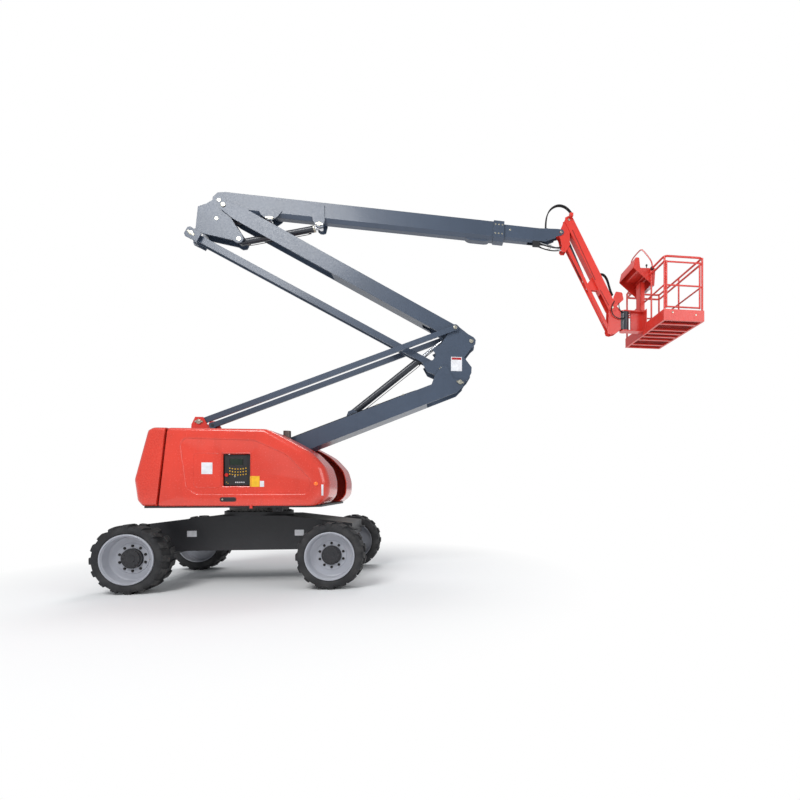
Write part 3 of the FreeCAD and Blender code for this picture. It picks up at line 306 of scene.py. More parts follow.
class Finish:
    """A material with short names for adding and linking its nodes."""

    def __init__(self, name, colour, roughness, metallic=0.0, coat=0.0, specular=0.5):
        self.material = bpy.data.materials.new(name)
        self.material.use_nodes = True
        self.tree = self.material.node_tree
        self.shader = self.tree.nodes["Principled BSDF"]
        self.colour = colour
        for socket, value in (("Base Color", colour), ("Roughness", roughness), ("Metallic", metallic),
                              ("Coat Weight", coat), ("Coat Roughness", 0.12),
                              ("Specular IOR Level", specular)):
            self.shader.inputs[socket].default_value = value
        self.coords = self.node("ShaderNodeTexCoord")

    def node(self, kind, **settings):
        """New node; a setting whose name is an input's is put there, any other on the node."""
        new = self.tree.nodes.new(kind)
        for key, value in settings.items():
            socket = key.replace("_", " ").title()
            if hasattr(new, key):
                setattr(new, key, value)
            else:
                new.inputs[socket].default_value = value
        return new

    def link(self, start, end):
        self.tree.links.new(start, end)

    def noise(self, scale, detail=3.0, stretch=(1, 1, 1), roughness=0.55):
        """Noise from 0 to 1 on Object coordinates, stretched along an axis by a small factor."""
        turn = self.node("ShaderNodeMapping")
        turn.inputs["Scale"].default_value = stretch
        self.link(self.coords.outputs["Object"], turn.inputs["Vector"])
        field = self.node("ShaderNodeTexNoise", scale=scale, detail=detail, roughness=roughness)
        self.link(turn.outputs["Vector"], field.inputs["Vector"])
        return field.outputs["Fac"]

    def spread(self, value, low, high, to_low=0.0, to_high=1.0):
        """Value stretched from low..high to to_low..to_high and clamped."""
        new = self.node("ShaderNodeMapRange")
        self.link(value, new.inputs["Value"])
        for name, number in (("From Min", low), ("From Max", high), ("To Min", to_low), ("To Max", to_high)):
            new.inputs[name].default_value = number
        return new.outputs["Result"]

    def times(self, a, b, operation="MULTIPLY"):
        """Product, or another sum, of two values."""
        new = self.node("ShaderNodeMath", operation=operation)
        self.link(a, new.inputs[0])
        if isinstance(b, (int, float)):
            new.inputs[1].default_value = b
        else:
            self.link(b, new.inputs[1])
        return new.outputs["Value"]

    def over(self, under, colour, factor):
        """Colour laid over another by a factor; under is a colour or a socket."""
        new = self.node("ShaderNodeMix", data_type="RGBA")
        self.link(factor, new.inputs["Factor"])
        if isinstance(under, tuple):
            new.inputs["A"].default_value = under
        else:
            self.link(under, new.inputs["A"])
        new.inputs[7].default_value = colour
        return new.outputs[2]

    def upward(self):
        """1 where the piece's own surface looks up, 0 where it stands."""
        split = self.node("ShaderNodeSeparateXYZ")
        self.link(self.coords.outputs["Normal"], split.inputs["Vector"])
        return self.spread(split.outputs["Z"], 0.35, 0.95)

    def edges(self, radius):
        """Rounded normal, and 1 at edges that stand out."""
        soft = self.node("ShaderNodeBevel", samples=4)
        soft.inputs["Radius"].default_value = radius
        true = self.node("ShaderNodeNewGeometry")
        dot = self.node("ShaderNodeVectorMath", operation="DOT_PRODUCT")
        self.link(soft.outputs["Normal"], dot.inputs[0])
        self.link(true.outputs["Normal"], dot.inputs[1])
        return soft.outputs["Normal"], self.spread(dot.outputs["Value"], 0.97, 0.80)

    def finish(self, colour=None, roughness=None, height=None, strength=0.2, distance=0.002, normal=None):
        """Connect what the layers gave."""
        if colour is not None:
            self.link(colour, self.shader.inputs["Base Color"])
        if roughness is not None:
            self.link(roughness, self.shader.inputs["Roughness"])
        if height is not None:
            bump = self.node("ShaderNodeBump", strength=strength, distance=distance)
            self.link(height, bump.inputs["Height"])
            if normal is not None:
                self.link(normal, bump.inputs["Normal"])
            self.link(bump.outputs["Normal"], self.shader.inputs["Normal"])
        elif normal is not None:
            self.link(normal, self.shader.inputs["Normal"])
        return self.material


def shade(colour, factor):
    """A colour made lighter or darker."""
    return tuple(min(1.0, c * factor) for c in colour[:3]) + (1.0,)


DUST = linear(176, 168, 152)
STEEL = linear(150, 150, 152)


def paint(name, colour, roughness=0.32, coat=0.25, dust=0.25, chips=0.5, bare=STEEL, radius=0.004):
    """Sprayed paint: drift of shade, streaks, dust on top, chipped edges, orange-peel bump."""
    f = Finish(name, colour, roughness, coat=coat)
    drift = f.spread(f.noise(0.9, 4), 0.3, 0.7)
    tone = f.over(shade(colour, 0.88), shade(colour, 1.10), drift)
    streak = f.spread(f.noise(9, 4, (1, 1, 0.12)), 0.52, 0.80, 0, 0.30)
    tone = f.over(tone, shade(colour, 0.72), streak)
    speckle = f.noise(38, 3)
    dusty = f.times(f.upward(), f.spread(f.noise(3.2, 5), 0.35, 0.75, 0, dust))
    tone = f.over(tone, DUST, dusty)
    normal, edge = f.edges(radius)
    chip = f.times(edge, f.spread(f.noise(24, 5), 0.50, 0.62, 0, chips))
    tone = f.over(tone, bare, chip)
    rough = f.times(f.spread(speckle, 0.3, 0.7, roughness - 0.06, roughness + 0.08),
                    f.times(dusty, 0.8), "ADD")
    return f.finish(tone, rough, f.noise(210, 2), 0.06, 0.0006, normal)


def metal(name, colour, roughness, scale=60, stretch=(1, 1, 1), grime=0.4, metallic=0.9):
    """Machined or plated metal: fine turning marks, and grime in a slow pattern."""
    f = Finish(name, colour, roughness, metallic)
    dirt = f.spread(f.noise(5, 5), 0.48, 0.75, 0, grime)
    tone = f.over(colour, shade(linear(70, 60, 48), 0.6), dirt)
    fine = f.noise(scale, 3, stretch)
    rough = f.times(f.spread(fine, 0.3, 0.7, roughness * 0.8, roughness * 1.25), f.times(dirt, 0.3), "ADD")
    normal, _ = f.edges(0.0015)
    return f.finish(tone, rough, fine, 0.08, 0.0005, normal)


def rubber(name, colour, tread=False):
    """Rubber: matt, dusty in its hollows, scuffed grey where the tread meets the ground."""
    f = Finish(name, colour, 0.78, specular=0.35)
    tone = f.over(shade(colour, 0.8), shade(colour, 1.35), f.spread(f.noise(7, 5), 0.3, 0.7))
    if tread:
        worn = f.node("ShaderNodeAttribute", attribute_name="tread")
        scuff = f.times(f.spread(worn.outputs["Fac"], 0.75, 1.0),
                        f.spread(f.noise(30, 4), 0.35, 0.65, 0.1, 0.6))
        tone = f.over(tone, linear(92, 90, 88), scuff)
        dry = f.times(f.spread(worn.outputs["Fac"], 0.6, 0.0), f.spread(f.noise(4, 4), 0.42, 0.7, 0, 0.35))
        tone = f.over(tone, linear(96, 94, 92), dry)
    return f.finish(tone, f.spread(f.noise(16, 4), 0.3, 0.7, 0.66, 0.9), f.noise(140, 3), 0.25, 0.0008)


def plastic(name, colour, roughness=0.45, bump=0.15):
    """Moulded plastic: a fine leather-like skin and faint wear."""
    f = Finish(name, colour, roughness)
    tone = f.over(shade(colour, 0.9), shade(colour, 1.12), f.spread(f.noise(12, 4), 0.3, 0.7))
    normal, _ = f.edges(0.0015)
    return f.finish(tone, f.spread(f.noise(45, 3), 0.3, 0.7, roughness - 0.05, roughness + 0.1),
                    f.noise(380, 2), bump, 0.0004, normal)


def lens_with_painted_glow(name, colour, strength):
    """Lamp lens: clear coat over a ribbed coloured body; its weak emission is painted light, the glow of daylight in
    the lens.
    """
    f = Finish(name, colour, 0.12, coat=0.6)
    ribs = f.node("ShaderNodeTexWave", scale=28.0, distortion=0.0)
    f.link(f.coords.outputs["Object"], ribs.inputs["Vector"])
    f.shader.inputs["Emission Color"].default_value = colour
    f.shader.inputs["Emission Strength"].default_value = strength
    return f.finish(None, None, ribs.outputs["Fac"], 0.25, 0.001)


# %% [markdown]
# ## The machine's own colours
# Hoods, jib and platform are signal red, booms and links a blue slate, the chassis nearly black.
# The wheels are silver, and their hubs black.

# %% Paint shop
RED = linear(228, 66, 48)
SLATE = linear(68, 80, 98)
CHARCOAL = linear(50, 50, 53)
finishes = {
    "hood_shell": paint("hood_red_gloss", RED, 0.22, 0.6, dust=0.10, chips=0.10, bare=shade(RED, 0.5)),
    "counterweight_paint": paint("counterweight_red", RED, 0.26, 0.5, dust=0.12, chips=0.35),
    "red_paint": paint("structure_red", linear(224, 58, 46), 0.34, 0.3, dust=0.12, chips=0.45),
    "slate_paint": paint("boom_slate", SLATE, 0.36, 0.2, dust=0.16, chips=0.35),
    "charcoal_paint": paint("chassis_charcoal", CHARCOAL, 0.48, 0.05, dust=0.35, chips=0.4),
    "rim_paint": paint("rim_silver", linear(168, 170, 178), 0.40, 0.15, dust=0.2, chips=0.25,
                       bare=linear(96, 92, 88)),
    "hub_paint": paint("hub_black", linear(38, 38, 42), 0.42, 0.1, dust=0.25, chips=0.5),
    "barrel_paint": paint("cylinder_black", linear(42, 46, 54), 0.36, 0.2, dust=0.15, chips=0.4),
    "engine_block": paint("engine_grey", linear(88, 92, 96), 0.5, 0.0, dust=0.3, chips=0.3),
    "bearing_steel": metal("bearing_steel", linear(120, 118, 116), 0.42),
    "rod_chrome": metal("rod_chrome", linear(214, 216, 220), 0.10, 300, (1, 1, 1), 0.12, 1.0),
    "exhaust_steel": metal("exhaust_steel", linear(112, 104, 100), 0.5, 24, grime=0.6),
    "tank_plastic": plastic("tank_black", linear(34, 34, 36), 0.5),
    "panel_plastic": plastic("panel_black", linear(40, 40, 42), 0.38),
    "tyre_rubber": rubber("tyre_rubber", linear(44, 44, 46), tread=True),
}
hose_rubber = rubber("hose_rubber", linear(30, 30, 32))
zinc = metal("zinc_plated", linear(198, 194, 178), 0.30, 90, grime=0.2)
dark_steel = metal("dark_bolt_steel", linear(62, 60, 60), 0.45, 90, grime=0.3)
label_white = plastic("label_white", linear(232, 232, 236), 0.35, 0.03)
label_yellow = plastic("label_yellow", linear(244, 186, 40), 0.35, 0.03)
label_red = plastic("label_red", linear(176, 30, 34), 0.35, 0.03)
knob_red = plastic("knob_red", linear(206, 36, 28), 0.3, 0.05)
print("finishes", len(bpy.data.materials))

# %% [markdown]
# The record says which slot each node belongs to, so painting the whole machine is one loop.

# %% Paint every node
slot_of = {}
for entry in record["subparts"]:
    slot_of[entry["node"]] = entry["material_slot"]
for name, obj in frame["nodes"].items():
    finish = finishes[slot_of[name]]
    if not obj.material_slots:
        obj.data.materials.append(finish)
    for place in obj.material_slots:
        place.material = finish
print("painted", len(frame["nodes"]), "nodes")

# %% [markdown]
# ## Wheels
# A tyre's surface is its half section carried round the axle. Where a lug stands, the section moves
# out along its own normal by the lug's height. A lug is a band of angles that leans along the
# shoulder, and the two shoulders are half a pitch apart. The height is kept with every point, so the
# rubber knows which parts touch the road.

# %% Tyres
PITCHES = 16
LUG_HEIGHT = 0.026
# Half section: across, radius, share of the lug's height
HALF_SECTION = np.array([
    (0.000, 0.5035, 0.0), (0.010, 0.5035, 0.0), (0.017, 0.5035, 1.0), (0.060, 0.5035, 1.0),
    (0.110, 0.5030, 1.0), (0.150, 0.5005, 1.0), (0.168, 0.4940, 0.9), (0.180, 0.4840, 0.45),
    (0.1865, 0.470, 0.2), (0.189, 0.4550, 0.1), (0.190, 0.4400, 0.0), (0.187, 0.4200, 0.0),
    (0.178, 0.3980, 0.0), (0.163, 0.3800, 0.0), (0.150, 0.3720, 0.0)])
LUG_TOP, LUG_FOOT = 5.0, 5.8
LEAN_AT_MIDDLE, LEAN_AT_EDGE = -0.034, 0.034
half_pitch = 180 / PITCHES
# Lines of the grid in one pitch, in degrees: the edges of both rows' lugs and two or three between
edges_outer = np.array([-LUG_FOOT, -LUG_TOP, -2.5, 0, 2.5, LUG_TOP, LUG_FOOT])
pitch_lines = np.sort(np.concatenate([edges_outer, half_pitch + edges_outer[1:-1],
                                      [half_pitch - LUG_FOOT, half_pitch + LUG_FOOT - 2 * half_pitch]]))


def tyre(side):
    """Points and lug heights of a tyre in its own place; side is -1 near and +1 far.

    With the section's normal n and the lug share s, a point is p(v) + s * LUG_HEIGHT * n(v), turned
    round the axle by its angle plus the lean of its place across.
    """
    left = HALF_SECTION[:0:-1] * (-1, 1, 1)
    section = np.concatenate([left, HALF_SECTION])
    across, radius, share = section.T
    slope = np.gradient(section[:, :2], axis=0)
    slope /= np.linalg.norm(slope, axis=1)[:, None]
    turn = (np.arange(PITCHES)[:, None] * 2 * half_pitch + pitch_lines[None]).ravel()
    centre = np.where(across > 0, 0.0, half_pitch)
    off = (turn[:, None] - centre[None] + half_pitch) % (2 * half_pitch) - half_pitch
    lug = np.clip((LUG_FOOT - np.abs(off)) / (LUG_FOOT - LUG_TOP), 0, 1) * share
    v = across - slope[:, 1] * lug * LUG_HEIGHT
    r = radius + slope[:, 0] * lug * LUG_HEIGHT
    share_out = np.clip(np.abs(across) / 0.18, 0, 1)
    lean = LEAN_AT_MIDDLE + (LEAN_AT_EDGE - LEAN_AT_MIDDLE) * share_out
    angle = np.radians(turn)[:, None] + lean
    points = np.stack([r * np.cos(angle), side * v, -side * r * np.sin(angle)], axis=-1)
    return points, lug


# Rim: radius and distance from the wheel's middle plane, outwards, as one closed loop
RIM_LOOP = [
    (0.384, 0.184), (0.379, 0.188), (0.371, 0.189), (0.363, 0.186), (0.358, 0.178), (0.354, 0.170),
    (0.350, 0.168), (0.346, 0.160), (0.343, 0.150), (0.340, 0.055), (0.333, 0.032), (0.318, 0.021),
    (0.290, 0.018), (0.240, 0.018), (0.232, 0.024), (0.158, 0.024), (0.152, 0.018), (0.151, 0.003),
    (0.320, 0.003), (0.352, 0.020), (0.358, -0.165), (0.371, -0.172), (0.371, 0.150), (0.384, 0.166)]
NUTS, NUT_RING = 10, 0.192
HUB_FACE = 0.0745
wheel_nut = bolt(0.015, 0.020)
cap_bolt = bolt(0.0085, 0.008)
for end_name in ("steer", "drive"):
    for side_name, side in (("near", -1), ("far", 1)):
        name = f"{end_name}_{side_name}"
        body = f"wheel_{name}"
        axle = pin_of(body + "_spin")
        out = np.array([0, side, 0])
        points, lug = tyre(side)
        rubber_piece = piece("tread_" + name, grid(points + axle, wrap_u=True, wrap_v=True), body,
                             finishes["tyre_rubber"], 30, values=lug.ravel())
        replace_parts(rubber_piece, "tyre_" + name)
        rim_piece = piece("wheel_rim_" + name, lathe(RIM_LOOP, axle, out, 96, closed=True), body,
                          finishes["rim_paint"])
        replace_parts(rim_piece, "rim_" + name)
        nut_spots = circle_of(axle + out * 0.023, NUT_RING, NUTS, out)
        piece("wheel_nuts_" + name, scatter(wheel_nut, nut_spots, out), body, dark_steel, 40)
        cap = join(scatter(cap_bolt, circle_of(axle + out * HUB_FACE, 0.112, 12, out), out),
                   scatter(bolt(0.014, 0.010), [axle + out * HUB_FACE + (0.035, 0, -0.04)], out),
                   lathe([(0.062, 0), (0.062, 0.004), (0.056, 0.006), (0, 0.006)],
                         axle + out * HUB_FACE, out, 40))
        piece("hub_cap_" + name, cap, body, finishes["hub_paint"], 40)
        valve = tube([axle + out * 0.150 + (0.328, 0, 0.0), axle + out * 0.160 + (0.324, 0, 0.0),
                      axle + out * 0.182 + (0.322, 0, 0.0)], 0.005, (0, 0, 1), 10)
        piece("tyre_valve_" + name, valve, body, zinc)
print("tyre points", points.shape[0] * points.shape[1])

# %% [markdown]
# ## Hoods and counterweight
# Their outlines are convex, so each is a set of straight edges seen from one centre C. An edge with
# the direction f and the distance h lies at h / cos(a - f) on the ray with the angle a. The smallest
# of these is the outline, and a power mean with a high power takes that smallest value softly, which
# rounds every corner a little. Moving an edge inwards while y runs outwards rolls the edge over into
# the side: the inset is R - sqrt(R^2 - t^2), a quarter circle.

# %% Shells
RAYS = np.radians(np.arange(0, 360, 2.0))


class Outline:
    """Convex outline of edges round a centre; corners (x, z) run counter-clockwise."""

    def __init__(self, corners, centre):
        p = np.asarray(corners, float)
        step = np.roll(p, -1, axis=0) - p
        normal = np.stack([step[:, 1], -step[:, 0]], axis=1) / np.linalg.norm(step, axis=1)[:, None]
        self.centre = np.asarray(centre, float)
        self.face = np.arctan2(normal[:, 1], normal[:, 0])
        self.distance = np.sum(normal * (p - self.centre), axis=1)
        corner = np.arctan2(*(p - self.centre).T[::-1])
        self.rays = np.sort(np.concatenate([corner + d for d in (-0.004, 0.004, -0.02, 0.02, 0)]))

    def reach(self, rays, moved=0.0, power=90):
        """Distance of the outline on each ray, with every edge moved inwards."""
        h = np.broadcast_to(self.distance - moved, self.face.shape)
        share = np.maximum(np.cos(rays[:, None] - self.face) / h, 1e-6)
        return np.sum(share ** power, axis=1) ** (-1 / power)

    def ring(self, rays, y, moved=0.0, power=90):
        """Points of the outline at the level y, which may differ from ray to ray."""
        r = self.reach(rays, moved, power)
        x, z = self.centre[0] + r * np.cos(rays), self.centre[1] + r * np.sin(rays)
        return np.stack([x, np.broadcast_to(y, rays.shape), z], axis=-1)


def rolled(radii, out):
    """Inset of each edge at the distance out from the flat side, out >= 0."""
    t = np.clip(radii - out, 0, None)
    return radii - np.sqrt(np.maximum(radii ** 2 - t ** 2, 0))


HOOD_HALF, HOOD_INNER, SHELL = 1.150, 0.432, 0.018
HOOD_CENTRE = (0.05, 1.89)
# Corners of the hood's side and, for the edge that starts there, the radius of its rolled edge
HOOD_EDGES = [
    (-1.076, 1.326, 0.03), (1.24, 1.326, 0.06), (1.335, 1.37, 0.15), (1.425, 1.48, 0.17),
    (1.44, 1.72, 0.17), (1.37, 1.95, 0.15), (1.15, 2.19, 0.11), (0.86, 2.36, 0.07), (0.50, 2.54, 0.055),
    (-0.945, 2.54, 0.014)]
RECESS = [(-0.68, 1.61), (-0.53, 1.51), (1.09, 1.51), (1.15, 1.56), (1.17, 1.74), (0.81, 2.13),
          (0.32, 2.36), (-0.70, 2.38), (-0.77, 2.30)]
WINDOW = [(-0.152, 1.638), (0.252, 1.638), (0.252, 2.142), (-0.152, 2.142)]
RECESS_DEPTH = 0.014
hood_edges = np.array(HOOD_EDGES)
hood_line = Outline(hood_edges[:, :2], HOOD_CENTRE)
recess_line = Outline(RECESS, HOOD_CENTRE)
window_line = Outline(WINDOW, HOOD_CENTRE)
rays = np.sort(np.concatenate([RAYS, hood_line.rays % (2 * math.pi), window_line.rays % (2 * math.pi),
                               recess_line.rays % (2 * math.pi)]))
# The hood is open at the seam and below, so its inner rim lies close to the side there
seam_top = math.atan2(2.54 - HOOD_CENTRE[1], -0.945 - HOOD_CENTRE[0]) % (2 * math.pi)
nose_low = math.atan2(1.35 - HOOD_CENTRE[1], 1.29 - HOOD_CENTRE[0]) % (2 * math.pi)
is_open = (rays > seam_top + 0.003) & (rays < nose_low)
inner_rim = np.where(is_open, HOOD_HALF - 0.05, HOOD_INNER)
OUTS = [0.17, 0.14, 0.11, 0.08, 0.055, 0.035, 0.018, 0.008, 0.002, 0.0]


def hood_rings(windowed):
    """Rings from the inner rim over the rolled edge and the recess to the window or the middle."""
    outer, inner = [], []
    for out in [None] + OUTS:
        y = inner_rim if out is None else np.maximum(inner_rim, HOOD_HALF - out)
        moved = rolled(hood_edges[:, 2], 1.0 if out is None else out)
        outer.append(hood_line.ring(rays, y, moved))
        deeper = np.minimum(y, HOOD_HALF - SHELL)
        inner.append(hood_line.ring(rays, deeper, moved + SHELL))
    floor_y = HOOD_HALF - RECESS_DEPTH
    for moved, y in ((-0.012, HOOD_HALF), (-0.004, HOOD_HALF - 0.001), (0.002, HOOD_HALF - 0.006),
                     (0.006, floor_y + 0.002), (0.014, floor_y)):
        outer.append(recess_line.ring(rays, y, moved, 60))
    inner.append(recess_line.ring(rays, floor_y - SHELL, 0.014, 60))
    if windowed:
        for moved, y in ((-0.030, floor_y), (-0.020, floor_y - 0.001), (-0.016, floor_y - 0.006),
                         (0.0, floor_y - 0.010), (0.002, floor_y - 0.030)):
            outer.append(window_line.ring(rays, y, moved, 60))
        inner.append(window_line.ring(rays, floor_y - 0.030, -0.016, 60))
    else:
        outer.append(recess_line.ring(rays, floor_y, 0.45, 60))
        inner.append(recess_line.ring(rays, floor_y - SHELL, 0.45, 60))
    return np.stack(outer), np.stack(inner[::-1])


for side_name, side in (("near", -1), ("far", 1)):
    outer, inner = hood_rings(side < 0)
    order = (outer, inner) if side < 0 else (inner, outer)
    rings = np.concatenate(order) * (1, side, 1)
    shape = grid(rings, wrap_u=side < 0, wrap_v=True, caps=side > 0)
    for x in (-0.70, 0.30):
        barrel = [(0, 0), (0.012, 0), (0.012, 0.12), (0, 0.12)]
        shape = join(shape, lathe(barrel, (x, side * HOOD_INNER, 2.53), (1, 0, 0), 16))
    hood_piece = piece("hood_shell_" + side_name, shape, "hood_" + side_name,
                       finishes["hood_shell"], 40)
    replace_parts(hood_piece, "hood_" + side_name)

# Corners of the counterweight's side with the radius of the edge that starts there
WEIGHT_EDGES = np.array([
    (-1.32, 1.332, 0.05), (-1.108, 1.332, 0.012), (-0.978, 2.54, 0.050), (-1.17, 2.54, 0.07),
    (-1.25, 2.49, 0.09), (-1.44, 1.74, 0.09), (-1.40, 1.43, 0.07)])
weight_line = Outline(WEIGHT_EDGES[:, :2], (-1.11, 1.93))
weight_rays = np.sort(np.concatenate([RAYS, weight_line.rays % (2 * math.pi)]))
NOTCH_HALF, NOTCH_FLOOR, NOTCH_FRONT = 0.31, 2.15, -1.10
levels = [HOOD_HALF - out for out in [0.0, 0.002, 0.008, 0.02, 0.04, 0.065, 0.095, 0.13, 0.165, 0.20]]
rings = []
for y in [-v for v in levels] + [-NOTCH_HALF] * 2 + [NOTCH_HALF] * 2 + levels[::-1]:
    ring = weight_line.ring(weight_rays, y, rolled(WEIGHT_EDGES[:, 2], HOOD_HALF - abs(y)))
    rings.append(ring)
for i in (len(levels) + 1, len(levels) + 2):
    ring = rings[i]
    ring[:, 2] = np.minimum(ring[:, 2], NOTCH_FLOOR)
    ring[:, 0] = np.minimum(ring[:, 0], NOTCH_FRONT)
weight_piece = piece("counterweight_casting", grid(np.stack(rings), wrap_v=True, caps=True), "turntable",
                     finishes["counterweight_paint"], 40)
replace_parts(weight_piece, "counterweight")
print("hood rays", len(rays))

# %% [markdown]
# ## Small helpers for the details
# Most details are painted like the body they sit on, or are bright fittings, or plastic.

# %% Detail helpers
NEAR = (0, -1, 0)


def painted(name, shape, body, slot, sharp=32):
    """Piece in one of the machine's own finishes."""
    return piece(name, shape, body, finishes[slot], sharp)


def fitting(name, shape, body, sharp=32):
    """Bright zinc-plated piece."""
    return piece(name, shape, body, zinc, sharp)


def moulded(name, shape, body, material, sharp=32):
    """Label, lens or knob."""
    return piece(name, shape, body, material, sharp)


def rectangle(x0, z0, x1, z1, radius, steps=4):
    """Outline of a rectangle with rounded corners."""
    return rounded([(x0, z0), (x1, z0), (x1, z1), (x0, z1)], radius, steps)


def sheet_at(x0, z0, x1, z1, face, thickness=0.002, radius=0.006, edge=0.0005):
    """Rounded plate that stands out to the near side from an upright plane."""
    return plate(rectangle(x0, z0, x1, z1, radius), face - thickness, face, None, edge)


def both_sides(outline, face, thickness, side, edge):
    """Thin plate on one side of the machine, its base at the distance face from the middle plane."""
    low, high = sorted((side * face, side * (face + thickness)))
    return plate(outline, low, high, None, edge)


def frame_line(x0, z0, x1, z1, face, radius, thickness=0.005):
    """Pressed line round a rectangle: a thin closed tube, half sunk in the plane."""
    outline = rectangle(x0, z0, x1, z1, radius, 6)
    path = np.stack([outline[:, 0], np.full(len(outline), face), outline[:, 1]], axis=-1)
    return tube(path, thickness, (0, 1, 0), 8, closed=True)


def button(radius, height, dome=0.3, sides=20):
    """Round button along +Z with an eased top."""
    profile = [(0, 0), (radius, 0), (radius, height * (1 - dome)), (radius * 0.8, height * 0.96), (0, height)]
    return lathe(profile, (0, 0, 0), (0, 0, 1), sides)


# %% [markdown]
# ## Details on the hood
# Everything here stands on one of three upright planes: the hood's side, its recess and the control
# panel behind the window. A label is a thin plate with eased edges, and a bolt head or a button is a
# small lathed shape that is copied to many spots.

# %% Hood details
FACE, RECESSED, PANEL_FACE = -1.150, -1.136, -1.096
LATCH_MIDDLE = 1.431
lines = join(frame_line(-0.575, 1.615, -0.185, 2.150, RECESSED + 0.001, 0.07),
             frame_line(-0.168, 1.622, 0.268, 2.158, RECESSED + 0.001, 0.03))
painted("hood_pressed_lines", lines, "hood_near", "hood_shell", 60)
LABELS = [
    # name, x0, z0, x1, z1, corner radius, material
    ("hood_placard_blank", -0.460, 1.825, -0.300, 2.005, 0.006, label_white),
    ("hood_label_yellow", 0.252, 1.628, 0.394, 1.796, 0.004, label_yellow),
    ("hood_label_white", 0.400, 1.628, 0.462, 1.720, 0.003, label_white)]
for name, x0, z0, x1, z1, radius, material in LABELS:
    moulded(name, sheet_at(x0, z0, x1, z1, RECESSED, radius=radius), "hood_near", material)
latch = join(sheet_at(-0.178, 1.405, 0.046, 1.457, FACE, 0.003, 0.0255),
             frame_line(-0.184, 1.399, 0.052, 1.463, FACE, 0.031, 0.004))
painted("hood_latch", latch, "hood_near", "panel_plastic")
fitting("hood_latch_key", scatter(button(0.013, 0.004), [(-0.148, FACE - 0.003, LATCH_MIDDLE)], NEAR), "hood_near")
# The amber lenses glow a little: painted light that stands for daylight in them
amber = lens_with_painted_glow("amber_lens", linear(244, 110, 30), 0.25)
LENS = [(0, 0), (0.032, 0), (0.032, 0.005), (0.027, 0.012), (0.014, 0.018), (0, 0.019)]
for side_name, side in (("near", -1), ("far", 1)):
    hood = "hood_" + side_name
    lens = lathe(LENS, (1.250, side * 1.150, 1.677), (0, side, 0), 28)
    moulded("marker_lamp_" + side_name, lens, hood, amber)
    strip = scatter(block((-0.088, -0.016, 0), (0.088, 0.016, 0.003), 0.002), [(1.343, side * 1.1290, 1.577)],
                    (0.488, side * 0.873, 0))
    moulded("reflector_" + side_name, strip, hood, label_white)
    inner_y, outer_y = sorted((side * 1.10, side * 1.14))
    painted("hood_catch_" + side_name, block((0.245, inner_y, 1.288), (0.285, outer_y, 1.332), 0.004), hood,
            "red_paint")

# %% [markdown]
# The ground control has a display, a field of push buttons, a key switch and a stop knob. The rows of
# buttons are bowed: z falls with the row and rises with the square of the distance from the middle.

# %% Ground control panel
FRONT = PANEL_FACE - 0.005
BUTTON_ROWS, BUTTONS_IN_ROW = 3, 7
painted("panel_face", sheet_at(-0.132, 1.655, 0.206, 2.104, PANEL_FACE, 0.005, 0.012), "turntable", "panel_plastic")
glass = plastic("display_glass", linear(34, 46, 36), 0.12, 0.02)
moulded("panel_display", sheet_at(-0.055, 1.968, 0.128, 2.066, FRONT, 0.004), "turntable", glass)
moulded("panel_display_frame", frame_line(-0.063, 1.960, 0.136, 2.074, FRONT, 0.008, 0.004), "turntable", dark_steel)
spots = []
for row in range(BUTTON_ROWS):
    for x in -0.060 + 0.040 * np.arange(BUTTONS_IN_ROW):
        spots.append((x, FRONT, 1.905 - 0.046 * row + (x - 0.06) ** 2))
moulded("panel_buttons", scatter(button(0.0085, 0.007), spots, NEAR), "turntable", label_yellow, 40)
keys = [(0.030 + 0.030 * i, FRONT, 1.698) for i in range(5)]
key_cap = block((-0.009, -0.008, 0), (0.009, 0.008, 0.005), 0.002)
moulded("panel_keys", scatter(key_cap, keys, NEAR), "turntable", label_white)
lamps = [(-0.110, FRONT, 1.700), (-0.086, FRONT, 1.682)]
moulded("panel_lamps", scatter(button(0.006, 0.004), lamps, NEAR), "turntable", label_yellow)
stop = lathe([(0, 0), (0.014, 0), (0.014, 0.016), (0.026, 0.020), (0.028, 0.027), (0.024, 0.034), (0, 0.036)],
             (-0.098, FRONT, 1.812), NEAR, 32)
moulded("panel_stop_knob", stop, "turntable", knob_red)
key = join(scatter(button(0.013, 0.009), [(0.015, FRONT, 1.790)], NEAR),
           block((0.012, FRONT - 0.021, 1.781), (0.018, FRONT - 0.007, 1.799), 0.002))
fitting("panel_key_switch", key, "turntable")

# %% [markdown]
# ## Pins and their keepers
# A pin is held by a keeper: a bar over its end with a bolt on each side. One shape is made flat, with
# its height along the third axis, and then stood up on a side of the machine and turned to its angle.

# %% Pin keepers
def on_side(shape, x, y, z, turn=0.0):
    """A flat shape stood up at (x, y, z), its height pointing away from the middle plane."""
    a, b, c = shape[0].T
    co, si = math.cos(math.radians(turn)), math.sin(math.radians(turn))
    points = np.stack([x + a * co - b * si, y + math.copysign(1, y) * c, z + a * si + b * co], axis=-1)
    return points, shape[1], shape[2]


def flat_block(width, depth, height, edge=0.0015):
    """Block round the origin with its base on the plane of height 0."""
    points, loops, sizes = block((-width / 2, 0, -depth / 2), (width / 2, height, depth / 2), edge)
    return points[:, [0, 2, 1]], loops, sizes


def keeper(radius, bar=0.132):
    """Disc over the pin's end, a bar across it and two bolts."""
    hub = scatter(button(radius * 0.5, 0.004, 0.3), [(0, 0, 0.0055)])
    bolts = scatter(bolt(0.009, 0.007), [(-bar * 0.38, 0, 0.005), (bar * 0.38, 0, 0.005)])
    return join(button(radius, 0.006, 0.25, 28), hub, flat_block(bar, 0.030, 0.0055), bolts)


def cap(radius, height, bolt_radius, bolt_height):
    """Disc over the pin's end with one bolt in its middle."""
    return join(button(radius, height, 0.3, 28), scatter(bolt(bolt_radius, bolt_height), [(0, 0, height - 0.001)]))


